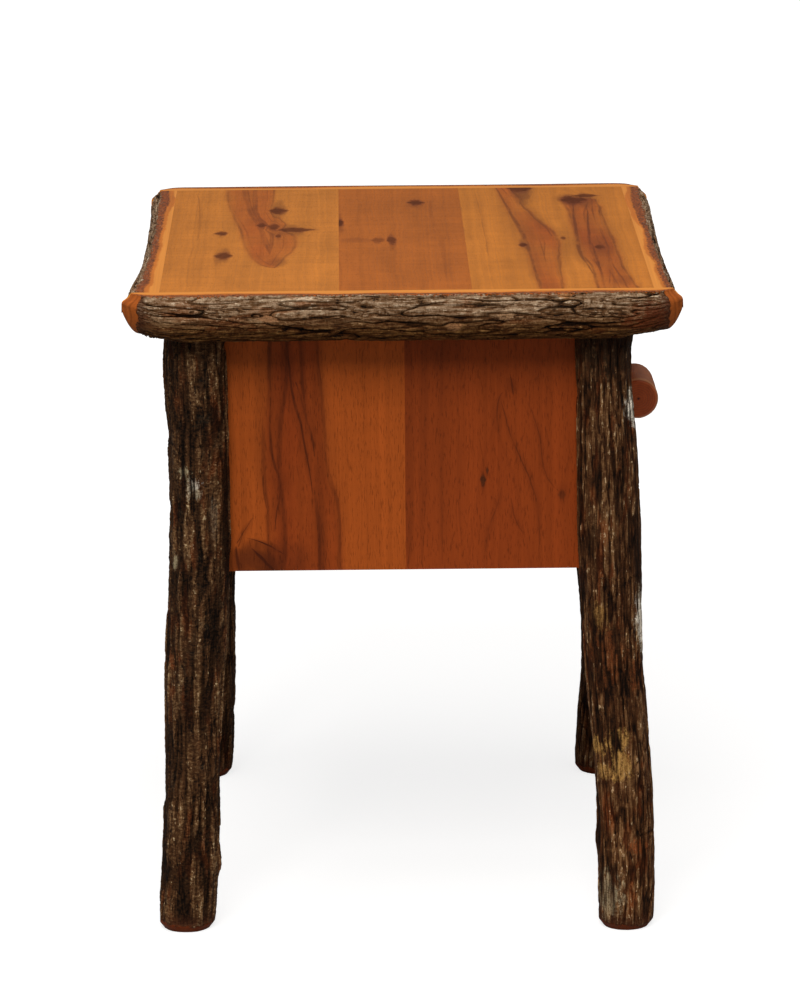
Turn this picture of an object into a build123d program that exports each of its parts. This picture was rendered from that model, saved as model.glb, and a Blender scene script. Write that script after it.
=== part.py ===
from build123d import *
import os

# A one-drawer rustic hickory side table: a board top framed by split logs, a panelled case, four bark-covered
# pole legs notched round its corners, and a drawer on ball-bearing slides.
# Millimetres. X runs from side to side, the drawer opens towards -Y, Z is up.
# The origin lies on the floor, under the middle of the top's outline.

# ---------------------------------------------------------------- driving dimensions
table_height = 610.0

# Case
case_half_width = 236.0
case_height = 250.0
case_depth = 372.0
side_thickness = 19.0
back_thickness = 12.0
back_board_count = 4
rail_thickness = 22.0
front_top_rail_height = 34.0
bottom_rail_height = 28.0
cleat_width = 20.0
cleat_height = 20.0
batten_thickness = 12.0
batten_height = 60.0

# Pole legs. A foot stands farther out from the case's side than the leg's top does.
leg_top_out = 6.0
leg_back_top_out = 4.4
leg_top_radius = 29.6
foot_out_back_left = 21.0
foot_out_front_left = 29.0
foot_out_back_right = 22.0
foot_out_front_right = 22.0
leg_log_gap = 2.7
foot_chamfer = 4.5
foot_chamfer_height = 6.0

# Board panel of the top. Its boards run from side to side, so their widths lie along Y.
board_thickness = 22.0
board_width_back = 164.0
board_width_middle = 121.4
top_front_overhang = 41.7
top_back_gap = 3.7

# Split logs round the panel. Each is a pole, ripped beside its centre and planed above it.
side_log_radius = 24.2
side_log_centre_out = 6.0
side_log_centre_down = 18.8
side_log_past_front = 26.3
side_log_past_back = 34.3
side_log_past_back_right = 26.3
log_end_round = 22.0
log_corner_round = 12.0
log_end_waste = 2.0  # the raw log stands this far out of the rounded block that its ends are cut to
end_log_radius = 23.5
end_log_centre_out = 1.2
end_log_centre_down = 18.6

# Drawer
front_thickness = 22.0
front_bottom_reveal = 12.0
front_gap = 0.5
front_leg_gap = 2.4
front_log_gap = 5.0
box_side_thickness = 13.0
box_end_thickness = 16.0
box_bottom_gap = 8.0
box_top_gap = 10.0
box_rear_gap = 8.5
bottom_thickness = 6.0
bottom_up = 16.0
groove_depth = 6.0
groove_clearance = 0.25
tail_count = 3
tail_root = 34.0
tail_flare = 3.0
glue_line = 0.05

# Handle, a short branch with its axis along X
handle_length = 80.0
handle_radius = 20.0
handle_taper = 0.5
handle_seat = 1.5
handle_chamfer = 3.0
handle_screw_spacing = 44.0

# Ball-bearing slide: three channels and two rows of balls, above and below, between each pair
slide_height = 45.0
slide_thickness = 12.7
slide_end_space = 1.0
sheet = 1.2
web_gap = 2.2
mouth_gap = 1.8
drawer_member_reach = 5.9
lip = 1.2
ball_diameter = 3.5
ball_clearance = 0.05
ball_count = 7
cage_thickness = 0.8
cage_width = 3.8
cage_length = 160.0
cage_from_front = 95.0
cage_wall_gap = 0.8

# Fasteners: shank and head diameters, and how deep each screw's tip goes into what it holds
leg_screw_diameter = 6.0
leg_screw_head = 11.0
leg_screw_in_leg = 23.0
top_screw_diameter = 4.5
top_screw_head = 8.5
top_screw_in_board = 14.0
cleat_screw_diameter = 4.0
cleat_screw_head = 8.0
cleat_screw_in_case = 12.0
back_screw_diameter = 3.5
back_screw_head = 7.0
back_screw_in_rail = 14.0
front_screw_diameter = 4.0
front_screw_head = 8.0
front_screw_in_front = 16.0
handle_screw_diameter = 4.5
handle_screw_head = 8.5
handle_screw_in_handle = 16.0
slide_screw_diameter = 4.0
slide_screw_head = 7.0
slide_screw_in_wood = 10.3
pan_head_height = 1.6
screw_clearance = 0.05
log_dowel_diameter = 8.0
log_dowel_length = 46.0
log_dowel_in_log = 16.0
log_dowel_inset = 82.0
rail_dowel_diameter = 8.0
rail_dowel_length = 30.0
rail_dowel_in_side = 11.0
rail_dowel_spacing = 14.0
dowel_end_space = 0.5

# Where fasteners lie, counted from the ends or edges of what they hold
leg_screw_from_corner = 16.0
leg_screw_above_rail = 14.0
leg_screw_from_batten = 16.0
leg_screw_over_batten = 40.0
top_screw_inset = 50.0
top_screw_inset_across = 77.0
cleat_screw_inset = 22.0
cleat_screw_inset_across = 137.0
batten_screw_inset = 38.0
batten_screw_up = 7.0
front_screw_inset = 62.0
front_screw_edge = 34.0
slide_screw_inset = 32.0

# ---------------------------------------------------------------- sizes worked out from them
case_top = table_height - board_thickness
case_bottom = case_top - case_height
inner_half_width = case_half_width - side_thickness

board_half = case_half_width + leg_top_out + leg_top_radius + leg_log_gap
panel_depth = top_front_overhang + case_depth + leg_back_top_out + leg_top_radius + top_back_gap
top_depth = side_log_past_front + panel_depth + side_log_past_back
panel_front = side_log_past_front - top_depth / 2
panel_back = panel_front + panel_depth
board_width_front = panel_depth - board_width_back - board_width_middle

case_front = panel_front + top_front_overhang
case_back = case_front + case_depth
back_inner = case_back - back_thickness
front_inner = case_front - front_gap
front_outer = front_inner - front_thickness
box_front = front_inner
box_back = back_inner - box_rear_gap
slide_front = box_front + slide_end_space
slide_length = box_back - slide_end_space - slide_front

front_half_width = case_half_width + leg_top_out - leg_top_radius - front_leg_gap
front_bottom = case_bottom + front_bottom_reveal
front_top = table_height - end_log_centre_down - end_log_radius - front_log_gap
front_middle = (front_bottom + front_top) / 2

slide_outer_x = inner_half_width - batten_thickness
box_half_width = slide_outer_x - slide_thickness
box_bottom = case_bottom + bottom_rail_height + box_bottom_gap
box_top = case_top - front_top_rail_height - box_top_gap
slide_middle = (box_bottom + box_top) / 2
batten_bottom = slide_middle - batten_height / 2
batten_top = slide_middle + batten_height / 2

cleat_inner_x = inner_half_width - cleat_width
cleat_front_y = case_front + rail_thickness
cleat_bottom = case_top - cleat_height
cleat_middle_z = case_top - cleat_height / 2

ball_radius = ball_diameter / 2
race = ball_diameter + 2 * ball_clearance
case_member_half = slide_height / 2
middle_member_half = case_member_half - sheet - race
drawer_member_half = middle_member_half - sheet - race
outer_ball_z = case_member_half - sheet - race / 2
inner_ball_z = middle_member_half - sheet - race / 2

leg_screw = (leg_screw_diameter, side_thickness + leg_screw_in_leg, leg_screw_head)
top_screw = (top_screw_diameter, cleat_height + top_screw_in_board, top_screw_head)
cleat_screw = (cleat_screw_diameter, cleat_width + cleat_screw_in_case, cleat_screw_head)
batten_screw = (cleat_screw_diameter, batten_thickness + cleat_screw_in_case, cleat_screw_head)
back_screw = (back_screw_diameter, back_thickness + back_screw_in_rail, back_screw_head)
front_screw = (front_screw_diameter, box_end_thickness + front_screw_in_front, front_screw_head)
handle_screw = (handle_screw_diameter, box_end_thickness + front_thickness + handle_screw_in_handle,
                handle_screw_head)
slide_screw = (slide_screw_diameter, sheet + slide_screw_in_wood, slide_screw_head)

parts = {}


# ---------------------------------------------------------------- general shapes
def block(low, high):
    """A box between two opposite corners."""
    size = [b - a for a, b in zip(low, high)]
    centre = [(a + b) / 2 for a, b in zip(low, high)]
    return Pos(*centre) * Box(*size)


def block_between(one, other):
    """A box between any two opposite corners."""
    low = [min(a, b) for a, b in zip(one, other)]
    high = [max(a, b) for a, b in zip(one, other)]
    return block(low, high)


def turned(profile):
    """A solid turned about Z from (radius, height) points."""
    return revolve(make_face(Polyline(*[(r, 0, z) for r, z in profile], close=True)), Axis.Z)


def rings(stations, direction):
    """Circles across a pole, each given by its centre and radius."""
    return [Wire.make_circle(radius, Plane(origin=centre, z_dir=direction)) for centre, radius in stations]


def pole(stations, direction):
    """A natural pole: a smooth loft through its rings."""
    return Solid.make_loft(rings(stations, direction))


def frustum(stations, direction):
    """A straight taper between two rings."""
    return Solid.make_loft(rings(stations, direction), ruled=True)


def mirrored(shape):
    """The same shape on the table's other side."""
    return mirror(shape, about=Plane.YZ)


def cut(shape, tools):
    """The shape with every tool taken away."""
    for tool in tools:
        shape = shape - tool
    return shape


def spread(low, high, inset, count):
    """Evenly spaced places between two ends, the outer ones at the inset from them."""
    step = (high - low - 2 * inset) / (count - 1)
    return [low + inset + step * index for index in range(count)]


# ---------------------------------------------------------------- fasteners
def cross_slot(head, diameter, depth):
    """The recess in a screw's head."""
    bar = Box(head * 0.55, diameter * 0.2, depth)
    return bar + Rot(0, 0, 90) * bar


def wood_screw(size):
    """A countersunk screw driven towards -Z, with its head's face at the origin."""
    diameter, length, head = size
    shank = diameter / 2
    rim = head / 2
    sink = rim - shank
    body = turned([(0, 0), (rim, 0), (shank, -sink), (shank, diameter - length), (0, -length)])
    return body - cross_slot(head, diameter, sink)


def wood_screw_hole(size):
    """The hole that a countersunk screw sits in."""
    diameter, length, head = size
    shank = diameter / 2 + screw_clearance
    rim = head / 2 + screw_clearance
    sink = (head - diameter) / 2
    end = -length - screw_clearance
    return turned([(0, 1), (rim, 1), (rim, 0), (shank, -sink), (shank, diameter - length), (0, end)])


def pan_screw(size):
    """A pan-head screw driven towards -Z, with the underside of its head at the origin."""
    diameter, length, head = size
    shank = diameter / 2
    rim = head / 2
    crown = pan_head_height
    body = turned([
        (0, crown), (rim * 0.7, crown), (rim, crown / 2), (rim, 0),
        (shank, 0), (shank, diameter - length), (0, -length),
    ])
    return body - Pos(0, 0, crown) * cross_slot(head, diameter, crown)


def pan_screw_hole(size):
    """The hole that a pan-head screw sits in, below its head."""
    diameter, length, head = size
    shank = diameter / 2 + screw_clearance
    end = -length - screw_clearance
    return turned([(0, 1), (shank, 1), (shank, diameter - length), (0, end)])


def aimed(point, direction):
    """The place of a screw with its head at a point, driven in a direction."""
    return Plane(origin=point, z_dir=tuple(-d for d in direction)).location


def along(point, direction):
    """The place of a dowel with its middle at a point."""
    return Plane(origin=point, z_dir=direction).location


def copies(shape, places):
    """Copies of a fastener or its hole, one at each place."""
    return [place * shape for place in places]


def dowel(diameter, length):
    """A dowel along Z with chamfered ends, centred on the origin."""
    peg = Cylinder(diameter / 2, length)
    return chamfer(peg.edges().filter_by(GeomType.CIRCLE), diameter / 10)


def dowel_hole(diameter, length):
    """The two facing holes of a dowel, as one cylinder."""
    return Cylinder(diameter / 2 + glue_line, length + 2 * dowel_end_space)


# ---------------------------------------------------------------- dowels between the top's boards and its logs
def log_dowel_places():
    """Where the dowels of the four edge logs lie: one per board end, and three along each long edge."""
    inward = log_dowel_length / 2 - log_dowel_in_log
    z = table_height - board_thickness / 2
    ys = [panel_front + board_width_front / 2,
          panel_back - board_width_back - board_width_middle / 2,
          panel_back - board_width_back / 2]
    places = [along((side * (board_half - inward), y, z), (1, 0, 0)) for side in (-1, 1) for y in ys]
    for x in spread(-board_half, board_half, log_dowel_inset, 3):
        places.append(along((x, panel_front + inward, z), (0, 1, 0)))
        places.append(along((x, panel_back - inward, z), (0, 1, 0)))
    return places


log_dowel_holes = copies(dowel_hole(log_dowel_diameter, log_dowel_length), log_dowel_places())


# ---------------------------------------------------------------- screws that hold the top to the case
def top_screw_places():
    """Screws driven up through the cleats into the top's boards."""
    side_x = inner_half_width - cleat_width / 2
    side_ys = spread(cleat_front_y, back_inner, top_screw_inset, 3)
    across_xs = spread(-cleat_inner_x, cleat_inner_x, top_screw_inset_across, 3)
    spots = [(side * side_x, y) for side in (-1, 1) for y in side_ys]
    for y in (cleat_front_y + cleat_width / 2, back_inner - cleat_width / 2):
        spots += [(x, y) for x in across_xs]
    return [aimed((x, y, cleat_bottom), (0, 0, 1)) for x, y in spots]


top_screw_holes = copies(wood_screw_hole(top_screw), top_screw_places())


# ---------------------------------------------------------------- top
def top_board(back, width):
    """One board of the top, with the dowel and screw holes that reach it."""
    board = block((-board_half, back - width, case_top), (board_half, back, table_height))
    holes = []
    for hole in log_dowel_holes + top_screw_holes:
        box = hole.bounding_box()
        if box.max.Y > back - width and box.min.Y < back:
            holes.append(hole)
    return cut(board, holes)


def side_log(side, past_back, swell):
    """A log along one side of the top, running past the ends of the front and back logs.

    The swell gives, at even steps along the log, how far its centre bulges outwards, as a share of its radius.
    """
    inner = side * board_half
    centre_x = inner + side * side_log_centre_out
    centre_z = table_height - side_log_centre_down
    front = panel_front - side_log_past_front
    back = panel_back + past_back
    stations = []
    for index, share in enumerate(swell):
        bulge = share * side_log_radius
        y = front - log_end_waste + (back - front + 2 * log_end_waste) * index / (len(swell) - 1)
        stations.append(((centre_x + side * bulge, y, centre_z), side_log_radius - abs(bulge)))
    outer = centre_x + side * (side_log_radius + log_end_waste)
    lowest = centre_z - side_log_radius - log_end_waste
    space = block_between((inner, front, lowest), (outer, back, table_height))
    low_ends = space.edges().filter_by(Axis.X).group_by(Axis.Z)[0]
    corners = space.edges().filter_by(Axis.Z).sort_by(lambda edge: abs(edge.center().X))[2:]
    low_rounded = fillet(low_ends, log_end_round + log_end_waste)
    corner_rounded = fillet(corners, log_corner_round + log_end_waste)
    log = pole(stations, (0, 1, 0)) & low_rounded & corner_rounded
    return cut(log, log_dowel_holes)


def end_log(inner, outward, swell):
    """A log along the front or back of the top, between the side logs, with its swell as on a side log."""
    centre_z = table_height - end_log_centre_down
    stations = []
    for index, share in enumerate(swell):
        x = board_half * (2 * index / (len(swell) - 1) - 1)
        centre_y = inner + outward * (end_log_centre_out + share * end_log_radius)
        stations.append(((x, centre_y, centre_z), end_log_radius))
    reach = inner + outward * 2 * end_log_radius
    space = block_between((-board_half, inner, centre_z - 2 * end_log_radius), (board_half, reach, table_height))
    return cut(pole(stations, (1, 0, 0)) & space, log_dowel_holes)


parts["top_board_back"] = top_board(panel_back, board_width_back)
parts["top_board_middle"] = top_board(panel_back - board_width_back, board_width_middle)
parts["top_board_front"] = top_board(panel_front + board_width_front, board_width_front)
parts["edge_log_left"] = side_log(-1, side_log_past_back, (0.0, -0.025, 0.017, -0.017, 0.025, 0.0))
parts["edge_log_right"] = side_log(1, side_log_past_back_right, (0.0, 0.021, -0.021, 0.012, -0.012, 0.0))
parts["edge_log_front"] = end_log(panel_front, -1, (0.01, -0.085, -0.11, -0.05, 0.05))
parts["edge_log_back"] = end_log(panel_back, 1, (0.234, 0.017, -0.06, -0.034, 0.026))
parts["edge_log_dowels"] = copies(dowel(log_dowel_diameter, log_dowel_length), log_dowel_places())


# ---------------------------------------------------------------- legs
def leg_screw_places():
    """Screws driven outwards through the case's sides into the legs."""
    ys = (case_front + leg_screw_from_corner, case_back - leg_screw_from_corner)
    heights = (case_bottom + bottom_rail_height + leg_screw_above_rail, batten_bottom - leg_screw_from_batten,
               batten_top + leg_screw_over_batten)
    return [aimed((side * inner_half_width, y, z), (side, 0, 0)) for side in (-1, 1) for y in ys for z in heights]


leg_screw_holes = copies(wood_screw_hole(leg_screw), leg_screw_places())


def leg(side, end, foot_out, line):
    """A pole leg with a chamfered foot, notched so that a corner of the case sits in it.

    The line gives, at each height, how far the pole's centre lies outside the case's front or back, and its
    radius, both as shares of the radius at a leg's top.
    """
    face_y = case_back if end > 0 else case_front

    def ring(height, out, girth):
        side_out = foot_out + (leg_top_out - foot_out) * height / case_top
        centre = (side * (case_half_width + side_out), face_y + end * out * leg_top_radius, height)
        return centre, girth * leg_top_radius

    stations = [ring(*entry) for entry in line]
    foot_centre, foot_radius = stations[0]
    sole = ((foot_centre[0], foot_centre[1], 0), foot_radius - foot_chamfer)
    foot = frustum([sole, stations[0]], (0, 0, 1))
    corner = block_between((0, 0, case_bottom), (side * case_half_width, face_y, case_top + 1))
    return cut(pole(stations, (0, 0, 1)) + foot, [corner] + leg_screw_holes)


ankle = case_bottom * 0.18
shin = case_bottom * 0.5
knee = case_bottom * 0.8
waist = case_bottom + case_height * 0.55
back_out = leg_back_top_out / leg_top_radius
parts["leg_back_left"] = leg(-1, 1, foot_out_back_left, [
    (foot_chamfer_height, 0.76, 0.90), (ankle, 0.65, 0.932), (shin, 0.48, 0.92), (knee, 0.34, 0.973),
    (case_bottom, 0.20, 0.993), (waist, 0.155, 0.98), (case_top, back_out, 1.0)])
parts["leg_front_left"] = leg(-1, -1, foot_out_front_left, [
    (foot_chamfer_height, 0.61, 0.872), (ankle, 0.635, 0.90), (shin, 0.466, 0.905), (knee, 0.21, 0.94),
    (case_bottom, 0.12, 0.98), (waist, -0.014, 0.912), (case_top, -0.08, 0.905)])
parts["leg_back_right"] = leg(1, 1, foot_out_back_right, [
    (foot_chamfer_height, 0.58, 0.92), (ankle, 0.473, 0.932), (shin, 0.378, 0.926), (knee, 0.27, 0.946),
    (case_bottom, 0.182, 0.966), (waist, 0.155, 0.973), (case_top, back_out, 0.98)])
parts["leg_front_right"] = leg(1, -1, foot_out_front_right, [
    (foot_chamfer_height, 0.743, 0.946), (ankle, 0.81, 0.912), (shin, 0.845, 0.838), (knee, 0.507, 0.878),
    (case_bottom, 0.27, 0.932), (waist, 0.034, 0.919), (case_top, -0.068, 0.912)])
parts["leg_screws"] = copies(wood_screw(leg_screw), leg_screw_places())


# ---------------------------------------------------------------- case
def rail_dowel_places():
    """Two dowels at each end of the three rails."""
    x = inner_half_width + rail_dowel_in_side - rail_dowel_length / 2
    front_y = case_front + rail_thickness / 2
    back_y = back_inner - rail_thickness / 2
    low_z = case_bottom + bottom_rail_height / 2
    high_z = case_top - front_top_rail_height / 2
    return [along((side * x, y, z + step * rail_dowel_spacing / 2), (1, 0, 0))
            for side in (-1, 1)
            for y, z in ((front_y, low_z), (front_y, high_z), (back_y, low_z))
            for step in (-1, 1)]


def cleat_screw_places():
    """Screws that fix the side cleats to the case's sides, and the front cleat to the front top rail."""
    places = [aimed((side * cleat_inner_x, y, cleat_middle_z), (side, 0, 0))
              for side in (-1, 1)
              for y in spread(cleat_front_y, back_inner, cleat_screw_inset, 4)]
    places += [aimed((x, cleat_front_y + cleat_width, cleat_middle_z), (0, -1, 0))
               for x in spread(-cleat_inner_x, cleat_inner_x, cleat_screw_inset_across, 2)]
    return places


def batten_screw_places():
    """Screws that fix the slide battens to the case's sides."""
    return [aimed((side * slide_outer_x, y, batten_bottom + batten_screw_up), (side, 0, 0))
            for side in (-1, 1)
            for y in spread(slide_front, back_inner, batten_screw_inset, 3)]


def back_board_middles():
    """The middles of the back boards, from left to right."""
    width = 2 * inner_half_width / back_board_count
    return [-inner_half_width + width * (index + 0.5) for index in range(back_board_count)]


def back_screw_places():
    """Screws driven forwards through the back boards into the bottom rail and the back cleat."""
    heights = (case_bottom + bottom_rail_height / 2, cleat_middle_z)
    return [aimed((x, case_back, z), (0, -1, 0)) for x in back_board_middles() for z in heights]


rail_dowel_holes = copies(dowel_hole(rail_dowel_diameter, rail_dowel_length), rail_dowel_places())
cleat_screw_holes = copies(wood_screw_hole(cleat_screw), cleat_screw_places())
batten_screw_holes = copies(wood_screw_hole(batten_screw), batten_screw_places())
back_screw_holes = copies(wood_screw_hole(back_screw), back_screw_places())


def side_board(front, back):
    """One vertical board of the left side; the boards of a side are edge glued."""
    board = block((-case_half_width, front, case_bottom), (-inner_half_width, back, case_top))
    holes = []
    for hole in leg_screw_holes + rail_dowel_holes + cleat_screw_holes + batten_screw_holes:
        box = hole.bounding_box()
        if box.min.X < -inner_half_width and box.max.Y > front and box.min.Y < back:
            holes.append(hole)
    return cut(board, holes)


side_seam = (case_front + case_back) / 2
for name, front, back in (("front", case_front, side_seam), ("back", side_seam, case_back)):
    board = side_board(front, back)
    parts["side_board_left_" + name] = board
    parts["side_board_right_" + name] = mirrored(board)

back_names = ("left", "middle_left", "middle_right", "right")
back_half_board = inner_half_width / back_board_count
for name, middle in zip(back_names, back_board_middles()):
    low = (middle - back_half_board, back_inner, case_bottom)
    high = (middle + back_half_board, case_back, case_top)
    holes = [hole for hole in back_screw_holes if abs(hole.bounding_box().center().X - middle) < back_half_board]
    parts["back_board_" + name] = cut(block(low, high), holes)


def rail(low_y, low_z, height):
    """A rail between the case's sides, with the holes of its fasteners."""
    high = (inner_half_width, low_y + rail_thickness, low_z + height)
    shape = block((-inner_half_width, low_y, low_z), high)
    return cut(shape, rail_dowel_holes + back_screw_holes + cleat_screw_holes)


parts["front_rail_top"] = rail(case_front, case_top - front_top_rail_height, front_top_rail_height)
parts["front_rail_bottom"] = rail(case_front, case_bottom, bottom_rail_height)
parts["back_rail_bottom"] = rail(back_inner - rail_thickness, case_bottom, bottom_rail_height)
parts["rail_dowels"] = copies(dowel(rail_dowel_diameter, rail_dowel_length), rail_dowel_places())

cleat_holes = top_screw_holes + cleat_screw_holes + back_screw_holes
side_cleat = block((-inner_half_width, cleat_front_y, cleat_bottom), (-cleat_inner_x, back_inner, case_top))
parts["top_cleat_left"] = cut(side_cleat, cleat_holes)
parts["top_cleat_right"] = cut(mirrored(side_cleat), cleat_holes)
for name, low_y in (("front", cleat_front_y), ("back", back_inner - cleat_width)):
    cleat = block((-cleat_inner_x, low_y, cleat_bottom), (cleat_inner_x, low_y + cleat_width, case_top))
    parts["top_cleat_" + name] = cut(cleat, cleat_holes)
parts["top_screws"] = copies(wood_screw(top_screw), top_screw_places())
parts["cleat_screws"] = copies(wood_screw(cleat_screw), cleat_screw_places())
parts["batten_screws"] = copies(wood_screw(batten_screw), batten_screw_places())
parts["back_board_screws"] = copies(wood_screw(back_screw), back_screw_places())

# ---------------------------------------------------------------- drawer slides
middle_web = sheet + web_gap
wide_mouth = slide_thickness - mouth_gap
drawer_mouth = slide_thickness - sheet - drawer_member_reach
outer_ball_x = middle_web + cage_wall_gap + cage_width / 2
inner_ball_x = wide_mouth - sheet - cage_wall_gap - cage_width / 2
slide_screw_ys = spread(slide_front, slide_front + slide_length, slide_screw_inset, 3)


def across(distance):
    """X of a point on the left slide, counted from its batten towards the drawer."""
    return distance - slide_outer_x


def channel(web, mouth, half):
    """A rolled steel channel of the left slide: a web, two flanges and, at its mouth, two inward lips."""
    turn = sheet if mouth > web else -sheet
    inner = half - sheet
    upper = [
        (web + turn, 0), (web + turn, inner), (mouth - turn, inner), (mouth - turn, inner - lip),
        (mouth, inner - lip), (mouth, half), (web, half),
    ]
    outline = upper + [(x, -z) for x, z in reversed(upper[1:])]
    points = [(across(x), slide_front, slide_middle + z) for x, z in outline]
    return extrude(make_face(Polyline(*points, close=True)), slide_length, dir=(0, 1, 0))


def case_slide_screw_places(side):
    """Screws through the case member's web into the batten."""
    return [aimed((side * (slide_outer_x - sheet), y, slide_middle), (side, 0, 0)) for y in slide_screw_ys]


def drawer_slide_screw_places(side):
    """Screws through the drawer member's web into the drawer's side."""
    return [aimed((side * (box_half_width + sheet), y, slide_middle), (-side, 0, 0)) for y in slide_screw_ys]


def ball_ys():
    """Where the balls of a cage lie along it."""
    pitch = cage_length / ball_count
    return [slide_front + cage_from_front + pitch * (index + 0.5) for index in range(ball_count)]


def balls(ball_x, ball_z):
    """The balls of one cage, above and below the slide's middle."""
    return [Pos(across(ball_x), y, slide_middle + end * ball_z) * Sphere(ball_radius)
            for end in (-1, 1) for y in ball_ys()]


def cage(ball_x, ball_z):
    """The two strips that keep the balls apart."""
    strips = []
    start = slide_front + cage_from_front
    for end in (-1, 1):
        z = slide_middle + end * ball_z
        low = (across(ball_x - cage_width / 2), start, z - cage_thickness / 2)
        high = (across(ball_x + cage_width / 2), start + cage_length, z + cage_thickness / 2)
        hole = Cylinder(ball_radius + ball_clearance, 2 * cage_thickness)
        strips.append(cut(block(low, high), [Pos(across(ball_x), y, z) * hole for y in ball_ys()]))
    return strips


slide_hole = pan_screw_hole(slide_screw)
case_slide_holes = copies(slide_hole, case_slide_screw_places(-1))
drawer_slide_holes = copies(slide_hole, drawer_slide_screw_places(-1))
left_slide = {
    "slide_case_member": [cut(channel(0, wide_mouth, case_member_half), case_slide_holes)],
    "slide_middle_member": [channel(middle_web, wide_mouth, middle_member_half)],
    "slide_drawer_member": [cut(channel(slide_thickness, drawer_mouth, drawer_member_half), drawer_slide_holes)],
    "slide_outer_cage": cage(outer_ball_x, outer_ball_z),
    "slide_inner_cage": cage(inner_ball_x, inner_ball_z),
    "slide_outer_balls": balls(outer_ball_x, outer_ball_z),
    "slide_inner_balls": balls(inner_ball_x, inner_ball_z),
}
for name, shapes in left_slide.items():
    parts[name + "_left"] = shapes
    parts[name + "_right"] = [mirrored(shape) for shape in shapes]

slide_pan_screw = pan_screw(slide_screw)
parts["slide_case_screws"] = copies(slide_pan_screw, case_slide_screw_places(-1) + case_slide_screw_places(1))
parts["slide_drawer_screws"] = copies(slide_pan_screw,
                                      drawer_slide_screw_places(-1) + drawer_slide_screw_places(1))

batten = block((-inner_half_width, slide_front, batten_bottom), (-slide_outer_x, back_inner, batten_top))
batten = cut(batten, batten_screw_holes + case_slide_holes)
parts["slide_batten_left"] = batten
parts["slide_batten_right"] = mirrored(batten)

# ---------------------------------------------------------------- drawer
groove_low = box_bottom + bottom_up
groove_high = groove_low + bottom_thickness + groove_clearance
bottom_reach = groove_depth - groove_clearance
box_inner_x = box_half_width - box_side_thickness
box_inner_front = box_front + box_end_thickness
box_inner_back = box_back - box_end_thickness


def tails(end_y, root_y, grow):
    """The dovetails at one end of the left side: they widen towards the end of the board."""
    pitch = (box_top - box_bottom) / tail_count
    root = tail_root / 2 + grow
    tip = root + tail_flare
    shapes = []
    for index in range(tail_count):
        z = box_bottom + pitch * (index + 0.5)
        corners = [(end_y, z - tip), (root_y, z - root), (root_y, z + root), (end_y, z + tip)]
        face = make_face(Polyline(*[(-box_half_width, y, height) for y, height in corners], close=True))
        shapes.append(extrude(face, box_side_thickness, dir=(1, 0, 0)))
    return shapes


def groove(one, other):
    """A groove for the drawer's bottom, between two corners seen from above."""
    return block_between((*one, groove_low), (*other, groove_high))


def drawer_side():
    """The left side of the drawer's box, with its tails, its groove and its slide's screw holes."""
    side = block((-box_half_width, box_inner_front, box_bottom), (-box_inner_x, box_inner_back, box_top))
    ends = tails(box_front, box_inner_front, -glue_line) + tails(box_back, box_inner_back, -glue_line)
    for tail in ends:
        side = side + tail
    side = side - groove((-box_inner_x - groove_depth, box_inner_front - groove_depth),
                         (-box_inner_x, box_inner_back + groove_depth))
    return cut(side, drawer_slide_holes)


def box_end(end_y, inner_y):
    """The front or back of the drawer's box, with sockets for the tails and a groove for the bottom."""
    board = block_between((-box_half_width, end_y, box_bottom), (box_half_width, inner_y, box_top))
    sockets = tails(end_y, inner_y, 0)
    board = cut(board, sockets + [mirrored(socket) for socket in sockets])
    depth = groove_depth if end_y > inner_y else -groove_depth
    return board - groove((-box_inner_x, inner_y), (box_inner_x, inner_y + depth))


def drawer_front_screw_places():
    """Screws driven forwards through the box's front into the drawer's face."""
    xs = spread(-box_half_width, box_half_width, front_screw_inset, 2)
    heights = (box_bottom + front_screw_edge, box_top - front_screw_edge)
    return [aimed((x, box_inner_front, z), (0, -1, 0)) for x in xs for z in heights]


def handle_screw_places():
    """Screws driven forwards through the box's front and the drawer's face into the handle."""
    return [aimed((end * handle_screw_spacing / 2, box_inner_front, front_middle), (0, -1, 0)) for end in (-1, 1)]


face_screw_holes = copies(wood_screw_hole(front_screw), drawer_front_screw_places())
face_screw_holes += copies(wood_screw_hole(handle_screw), handle_screw_places())


def handle():
    """A short branch with sanded ends and a narrow flat planed where it meets the drawer's face."""
    axis_y = front_outer - handle_radius + handle_seat
    end_x = handle_length / 2
    arris_x = end_x - handle_chamfer
    small = handle_radius - handle_taper

    def ring(x, radius):
        return (x, axis_y, front_middle), radius

    wide_ring = ring(-arris_x, handle_radius)
    small_ring = ring(arris_x, small)
    trunk = pole([wide_ring, ring(0, handle_radius - handle_taper / 4), small_ring], (1, 0, 0))
    wide_end = frustum([ring(-end_x, handle_radius - handle_chamfer), wide_ring], (1, 0, 0))
    small_end = frustum([small_ring, ring(end_x, small - handle_chamfer)], (1, 0, 0))
    seat = block((-handle_length, front_outer, front_bottom), (handle_length, front_inner, front_top))
    return cut(trunk + wide_end + small_end, [seat] + face_screw_holes)


side = drawer_side()
parts["drawer_side_left"] = side
parts["drawer_side_right"] = mirrored(side)
parts["drawer_box_front"] = cut(box_end(box_front, box_inner_front), face_screw_holes)
parts["drawer_box_back"] = box_end(box_back, box_inner_back)
parts["drawer_bottom"] = block(
    (-box_inner_x - bottom_reach, box_inner_front - bottom_reach, groove_low),
    (box_inner_x + bottom_reach, box_inner_back + bottom_reach, groove_low + bottom_thickness))
front_board = block((-front_half_width, front_outer, front_bottom), (front_half_width, front_inner, front_top))
parts["drawer_front"] = cut(front_board, face_screw_holes)
parts["drawer_handle"] = handle()
parts["drawer_front_screws"] = copies(wood_screw(front_screw), drawer_front_screw_places())
parts["drawer_handle_screws"] = copies(wood_screw(handle_screw), handle_screw_places())

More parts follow.
